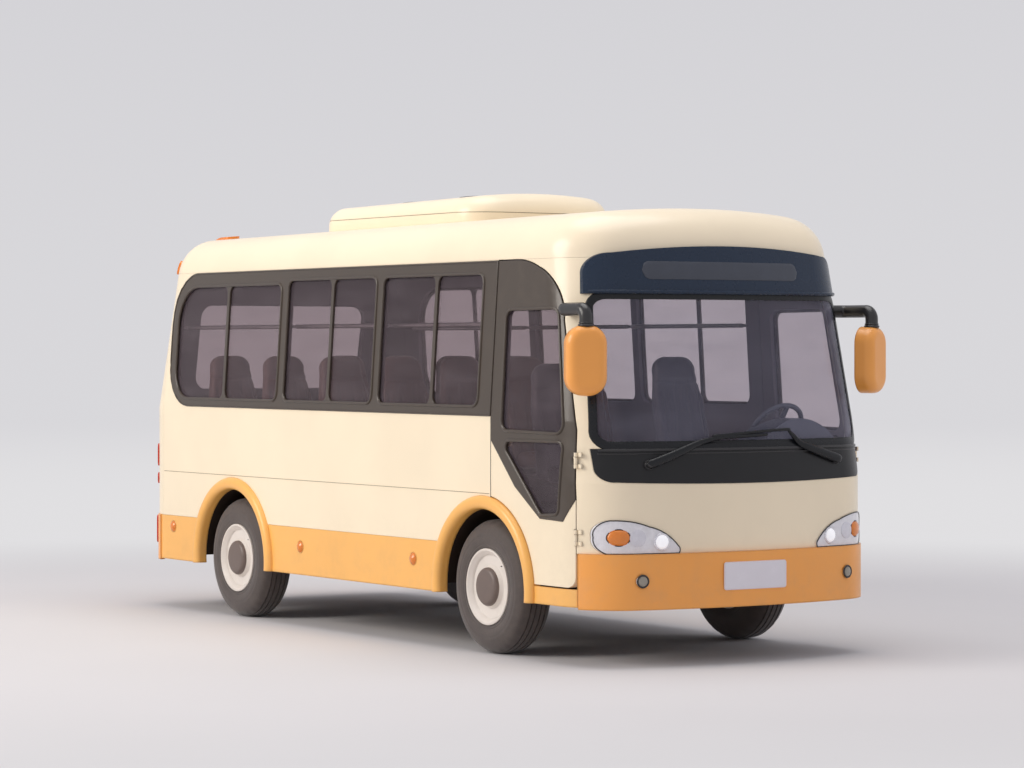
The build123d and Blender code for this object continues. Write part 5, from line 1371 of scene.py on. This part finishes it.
class MINIBUS_OT_cabin(bpy.types.Operator):
    """Instruments, vents, gear lever, pedals and the steering wheel's pad"""

    bl_idname = "minibus.cabin"
    bl_label = "Cab fittings"

    def execute(self, context):
        sine, cosine = math.sin(COLUMN_TILT), math.cos(COLUMN_TILT)
        up, rise, across = Vector((-cosine, 0, sine)), Vector((sine, 0, cosine)), Vector((0, 1, 0))
        badge = ring_shape(0.038, 0.0018, WHEEL_CENTRE + up * 0.0232, up, 36)
        pad = turned_shape(HORN_PAD, WHEEL_CENTRE, up, 40)
        joined("horn_pad", [pad, badge], "interior_plastic", "steering_wheel", 30.0)
        grips = []
        for c, s in circle(STITCHES):
            at = WHEEL_CENTRE + (across * c + rise * s) * GRIP_R
            grips.append(ring_shape(0.0150, 0.0012, at, rise * c - across * s, 14, 6))
        joined("wheel_stitches", grips, body="steering_wheel")
        dash = surface_of("dashboard")
        fittings, faces, needles = [], [], []
        # dials on the hood's face, towards the driver
        for y, r in DIALS:
            hit, out = touch(dash, (DASH_LOOK_X, y, DIALS_Z), Vector((1, 0, -0.02)).normalized())
            fittings.append(ring_shape(r, 0.004, hit + out * 0.001, out, 36, 8))
            faces.append(turned_shape(((0.0, -0.003), (r, -0.003), (r, 0.0012), (0.0, 0.0012)), hit, out, 36))
            turn = facing(hit + out * 0.003, out)
            way = [turn @ Vector((-r * u, r * v, 0)) for u, v in ((0, 0), (0.4, 0.25), (0.75, 0.45))]
            needles.append(tube_shape(way, (0.0022, 0.0016, 0.001), 8, 1.0, out))
        half_y, half_z = VENT_HALF
        for y in VENTS_Y:
            hit, out = touch(dash, (DASH_LOOK_X, y, VENTS_Z), FORWARD)
            place = facing(hit - out * 0.004, out)
            rim = box_outline((-half_y, half_y), (-half_z, half_z), 0.012)
            fittings.append(slab_shape(rim, 0.008, 0.002, place))
            for h in (-0.018 + 0.012 * j for j in range(4)):
                slat = [place @ Vector((u, h, lift)) for u, lift in SLAT]
                fittings.append(tube_shape(slat, 0.0032, 8, 0.6, out))
        joined("dash_fittings", fittings)
        joined("dial_faces", faces, "dial_face")
        joined("dial_needles", needles, "red_lens")
        base, _ = touch(surface_of("floor", "engine_cover", "wheel_housings"), LEVER_FOOT, (0, 0, -1))
        lever = smooth_path([base + Vector(p) for p in LEVER_WAY], 6)
        joined("gear_lever", [tube_shape(lever, 0.0085, 12), turned_shape(KNOB, lever[-1], (-0.1, 0, 1), 28),
                              turned_shape(GAITER, base, (0, 0, 1))])
        # three pedals hang from the dashboard
        foot_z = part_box("floor")[1][2] + 0.13
        pedals = []
        for y, half in PEDALS:
            top, _ = touch(dash, (DASH_LOOK_X, y, 1.02), FORWARD)
            foot = Vector((top.x - 0.10, y, foot_z))
            hanger = smooth_path([top + Vector((0.01, 0, 0)), top + Vector((-0.06, 0, -0.04)), foot], 4)
            pedals.append(tube_shape(hanger, 0.008))
            plate = box_outline((-half, half), (-0.035, 0.035), 0.012)
            face = facing(foot + Vector((0.004, 0, 0)), (-0.82, 0, 0.57))
            pedals.append(slab_shape(plate, 0.014, 0.004, face))
        joined("pedals", pedals)
        return {"FINISHED"}


# ------------------------------------------------------------------ chassis
SPRING_Y, CLAMP_SPAN, CLAMP_DX = 0.3975, 0.040, (-0.055, 0.055)
# places of the bolts along the frame rails, their heights, and how far in the rails lie
RAIL_BOLTS_X, RAIL_BOLTS_Z, RAIL_REACH = (-2.70, -2.05, -1.05, -0.10, 0.76, 2.30, 2.68), (0.58, 0.65), 0.42
STRAP = ((-0.020, -0.001), (0.020, -0.001), (0.020, 0.0022), (-0.020, 0.0022))


def bolt_shapes(at, out, size):
    """Hexagonal head and washer."""
    head = [Vector((size * c, size * s)) for c, s in circle(6)]
    washer = ((0.0, -0.001), (size * 1.45, -0.001), (size * 1.4, 0.0022), (0.0, 0.0022))
    return [slab_shape(head, size * 0.9, size * 0.12, facing(at, out)), turned_shape(washer, at, out, 20)]


class MINIBUS_OT_chassis(bpy.types.Operator):
    """Spring clamps, frame bolts and tank straps under the floor"""

    bl_idname = "minibus.chassis"
    bl_label = "Chassis fittings"

    def execute(self, context):
        springs, rails, tank = (surface_of(name) for name in ("leaf_springs", "frame_rails", "fuel_tank"))
        bolts, clamps = [], []
        for axle in AXLES_X.values():
            for _, side in SIDES:
                for x in (axle + dx for dx in CLAMP_DX):
                    y = side * SPRING_Y
                    top = touch(springs, (x, y, 1.0), (0, 0, -1))[0].z + 0.006
                    foot = touch(springs, (x, y, 0.1), (0, 0, 1))[0].z - 0.020
                    half = ((CLAMP_SPAN, foot), (CLAMP_SPAN, top - 0.01), (CLAMP_SPAN - 0.012, top))
                    route = [(x, y - out, z) for out, z in half] + [(x, y, top + 0.001)]
                    route += [(x, y + out, z) for out, z in reversed(half)]
                    clamps.append(tube_shape(route, 0.0065, 10, 1.0, FORWARD))
                    for s in (-1, 1):
                        bolts += bolt_shapes(Vector((x, y + s * CLAMP_SPAN, foot + 0.012)), (0, 0, -1), 0.010)
        joined("spring_clamps", clamps, "chassis_paint")
        places = [(x, z, dx) for x in RAIL_BOLTS_X for z in RAIL_BOLTS_Z for dx in (-0.02, 0.02)]
        for _, side in SIDES:
            for x, z, dx in places:
                hit, _ = touch(rails, (x + dx, side * 1.5, z), (0, -side, 0))
                if hit and abs(hit.y) < RAIL_REACH:
                    bolts += bolt_shapes(hit, (0, side, 0), 0.009)
        joined("frame_bolts", bolts, "bolt_steel", smooth=30.0)
        # straps round the tank
        low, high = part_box("fuel_tank")
        ways = [(0, c, s * 0.7) for c, s in circle(60)]
        for number, x in enumerate((low[0] + 0.14, high[0] - 0.14), 1):
            middle = Vector((x, (low[1] + high[1]) / 2, (low[2] + high[2]) / 2))
            path, normals = around(tank, middle, ways, 1.0)
            bead(f"tank_strap_{number}", path, normals, STRAP, "bolt_steel")
        return {"FINISHED"}


# ------------------------------------------------------------------ studio
BACKDROP_LOW, BACKDROP_HIGH, HORIZON = (0.690, 0.683, 0.706), (0.612, 0.606, 0.640), (-0.02, 0.28)
SKY_LIGHT = (0.80, 0.79, 0.84)
# metres from the middle: where lit floor turns to flat colour, and where that fades into the backdrop
FLAT_FROM, FADE_FROM, FLOOR_FAR = (4.2, 10.5), (14.0, 60.0), (0.750, 0.742, 0.757)
CAMERA_AT = (17.417, -11.160, 1.8185)
CAMERA_TURN, CAMERA_DIP = math.radians(33.146), math.radians(0.649)
# name, place, aim, size, share of the key light's power, colour
LAMPS = (("key", (-3.0, -14.0, 8.0), (0, 0, 1.2), 9.0, 0.88, (1.0, 0.95, 0.88)),
         ("top", (1.0, 0.0, 12.0), (0, 0, 1.0), 10.0, 0.42, (1.0, 0.98, 0.96)),
         ("front", (7.5, 13.0, 5.5), (1.5, 0, 1.2), 7.0, 0.16, (0.90, 0.93, 1.0)))


class MINIBUS_OT_studio(bpy.types.Operator):
    """Pale floor and backdrop, soft lamps and the camera"""

    bl_idname = "minibus.studio"
    bl_label = "Studio"

    def execute(self, context):
        settings = context.scene.minibus_studio
        scene = context.scene
        scene.view_settings.view_transform = "Standard"
        flat = math.cos(CAMERA_DIP)
        forward = Vector((-math.cos(CAMERA_TURN) * flat, math.sin(CAMERA_TURN) * flat, -math.sin(CAMERA_DIP)))
        data = bpy.data.cameras.new("camera")
        data.lens, data.sensor_width, data.clip_end = settings.focal, 36.0, 400.0
        camera = bpy.data.objects.new("camera", data)
        camera.location = CAMERA_AT
        camera.rotation_euler = forward.to_track_quat("-Z", "Y").to_euler()
        scene.collection.objects.link(camera)
        scene.camera = camera
        # the floor takes the shadow near the vehicle and fades into the backdrop further out
        f = Finish("studio_floor")
        x, y, _ = f.axes()
        cloud = f.noise(3.0, 2.0).within(0.3, 0.7)
        shade = f.mix(cloud, rgba(settings.floor, 0.99), rgba(settings.floor, 1.01))
        lit = f.principled(Base_Color=shade, Roughness=0.85, Specular_IOR_Level=0.1)
        away = ((x * x) + (y * y)) ** 0.5
        fade = f.mix(away.within(*FADE_FROM), rgba(FLOOR_FAR), rgba(BACKDROP_LOW))
        far = f.node("ShaderNodeEmission", (), {"Color": fade, "Strength": 1.0})
        f.show(f.node("ShaderNodeMixShader", (), {0: away.within(*FLAT_FROM) * f.seen(), 1: lit, 2: far}))
        bpy.ops.mesh.primitive_circle_add(vertices=96, radius=120.0, fill_type="NGON", location=(0, 0, 0))
        floor = context.object
        floor.name = "studio_floor"
        floor.data.materials.append(f.material)
        # even light from all round, behind which the camera sees the backdrop
        sky = Finish("studio_sky", "worlds")
        scene.world = sky.material
        direction = sky.node("ShaderNodeTexCoord", out="Generated")
        height = sky.node("ShaderNodeSeparateXYZ", (), {0: direction}, "Z")
        drop = sky.mix(height.within(*HORIZON), rgba(BACKDROP_LOW), rgba(BACKDROP_HIGH))
        seen = sky.node("ShaderNodeBackground", (), {"Color": drop, "Strength": 1.0})
        even = sky.node("ShaderNodeBackground", (), {"Color": rgba(SKY_LIGHT), "Strength": settings.world})
        sky.show(sky.node("ShaderNodeMixShader", (), {0: sky.seen(), 1: even, 2: seen}), "World")
        for name, at, aim, size, share, colour in LAMPS:
            lamp = bpy.data.lights.new(f"lamp_{name}", "AREA")
            lamp.shape, lamp.size, lamp.energy, lamp.color = "DISK", size, settings.key * share, colour
            holder = bpy.data.objects.new(f"lamp_{name}", lamp)
            holder.location = at
            holder.visible_glossy = name != "front"
            holder.rotation_euler = (Vector(aim) - Vector(at)).to_track_quat("-Z", "Y").to_euler()
            scene.collection.objects.link(holder)
        return {"FINISHED"}


class MINIBUS_PT_panel(bpy.types.Panel):
    """Lists the steps in order"""

    bl_label = "Minibus"
    bl_idname = "MINIBUS_PT_panel"
    bl_space_type = "VIEW_3D"
    bl_region_type = "UI"
    bl_category = "Minibus"

    def draw(self, context):
        for step in STEPS:
            self.layout.operator(step.bl_idname)
        for group in SETTINGS:
            settings = getattr(context.scene, group)
            for key in settings.__annotations__:
                self.layout.prop(settings, key)


SETTINGS = {
    "minibus_paint": PaintSettings,
    "minibus_glass": GlassSettings,
    "minibus_seats": SeatSettings,
    "minibus_seals": SealSettings,
    "minibus_studio": StudioSettings,
}
STEPS = (MINIBUS_OT_studio, MINIBUS_OT_finishes, MINIBUS_OT_seals, MINIBUS_OT_lines, MINIBUS_OT_front,
         MINIBUS_OT_lamps, MINIBUS_OT_wipers, MINIBUS_OT_mirrors, MINIBUS_OT_roof, MINIBUS_OT_wheels,
         MINIBUS_OT_seats, MINIBUS_OT_cabin, MINIBUS_OT_chassis)
CLASSES = (*SETTINGS.values(), *STEPS, MINIBUS_PT_panel)


def register():
    for cls in CLASSES:
        bpy.utils.register_class(cls)
    for name, group in SETTINGS.items():
        setattr(bpy.types.Scene, name, bpy.props.PointerProperty(type=group))


def unregister():
    for name in SETTINGS:
        delattr(bpy.types.Scene, name)
    for cls in reversed(CLASSES):
        bpy.utils.unregister_class(cls)


def main():
    register()
    for step in STEPS:
        group, name = step.bl_idname.split(".")
        getattr(getattr(bpy.ops, group), name)()


if __name__ == "__main__":
    main()
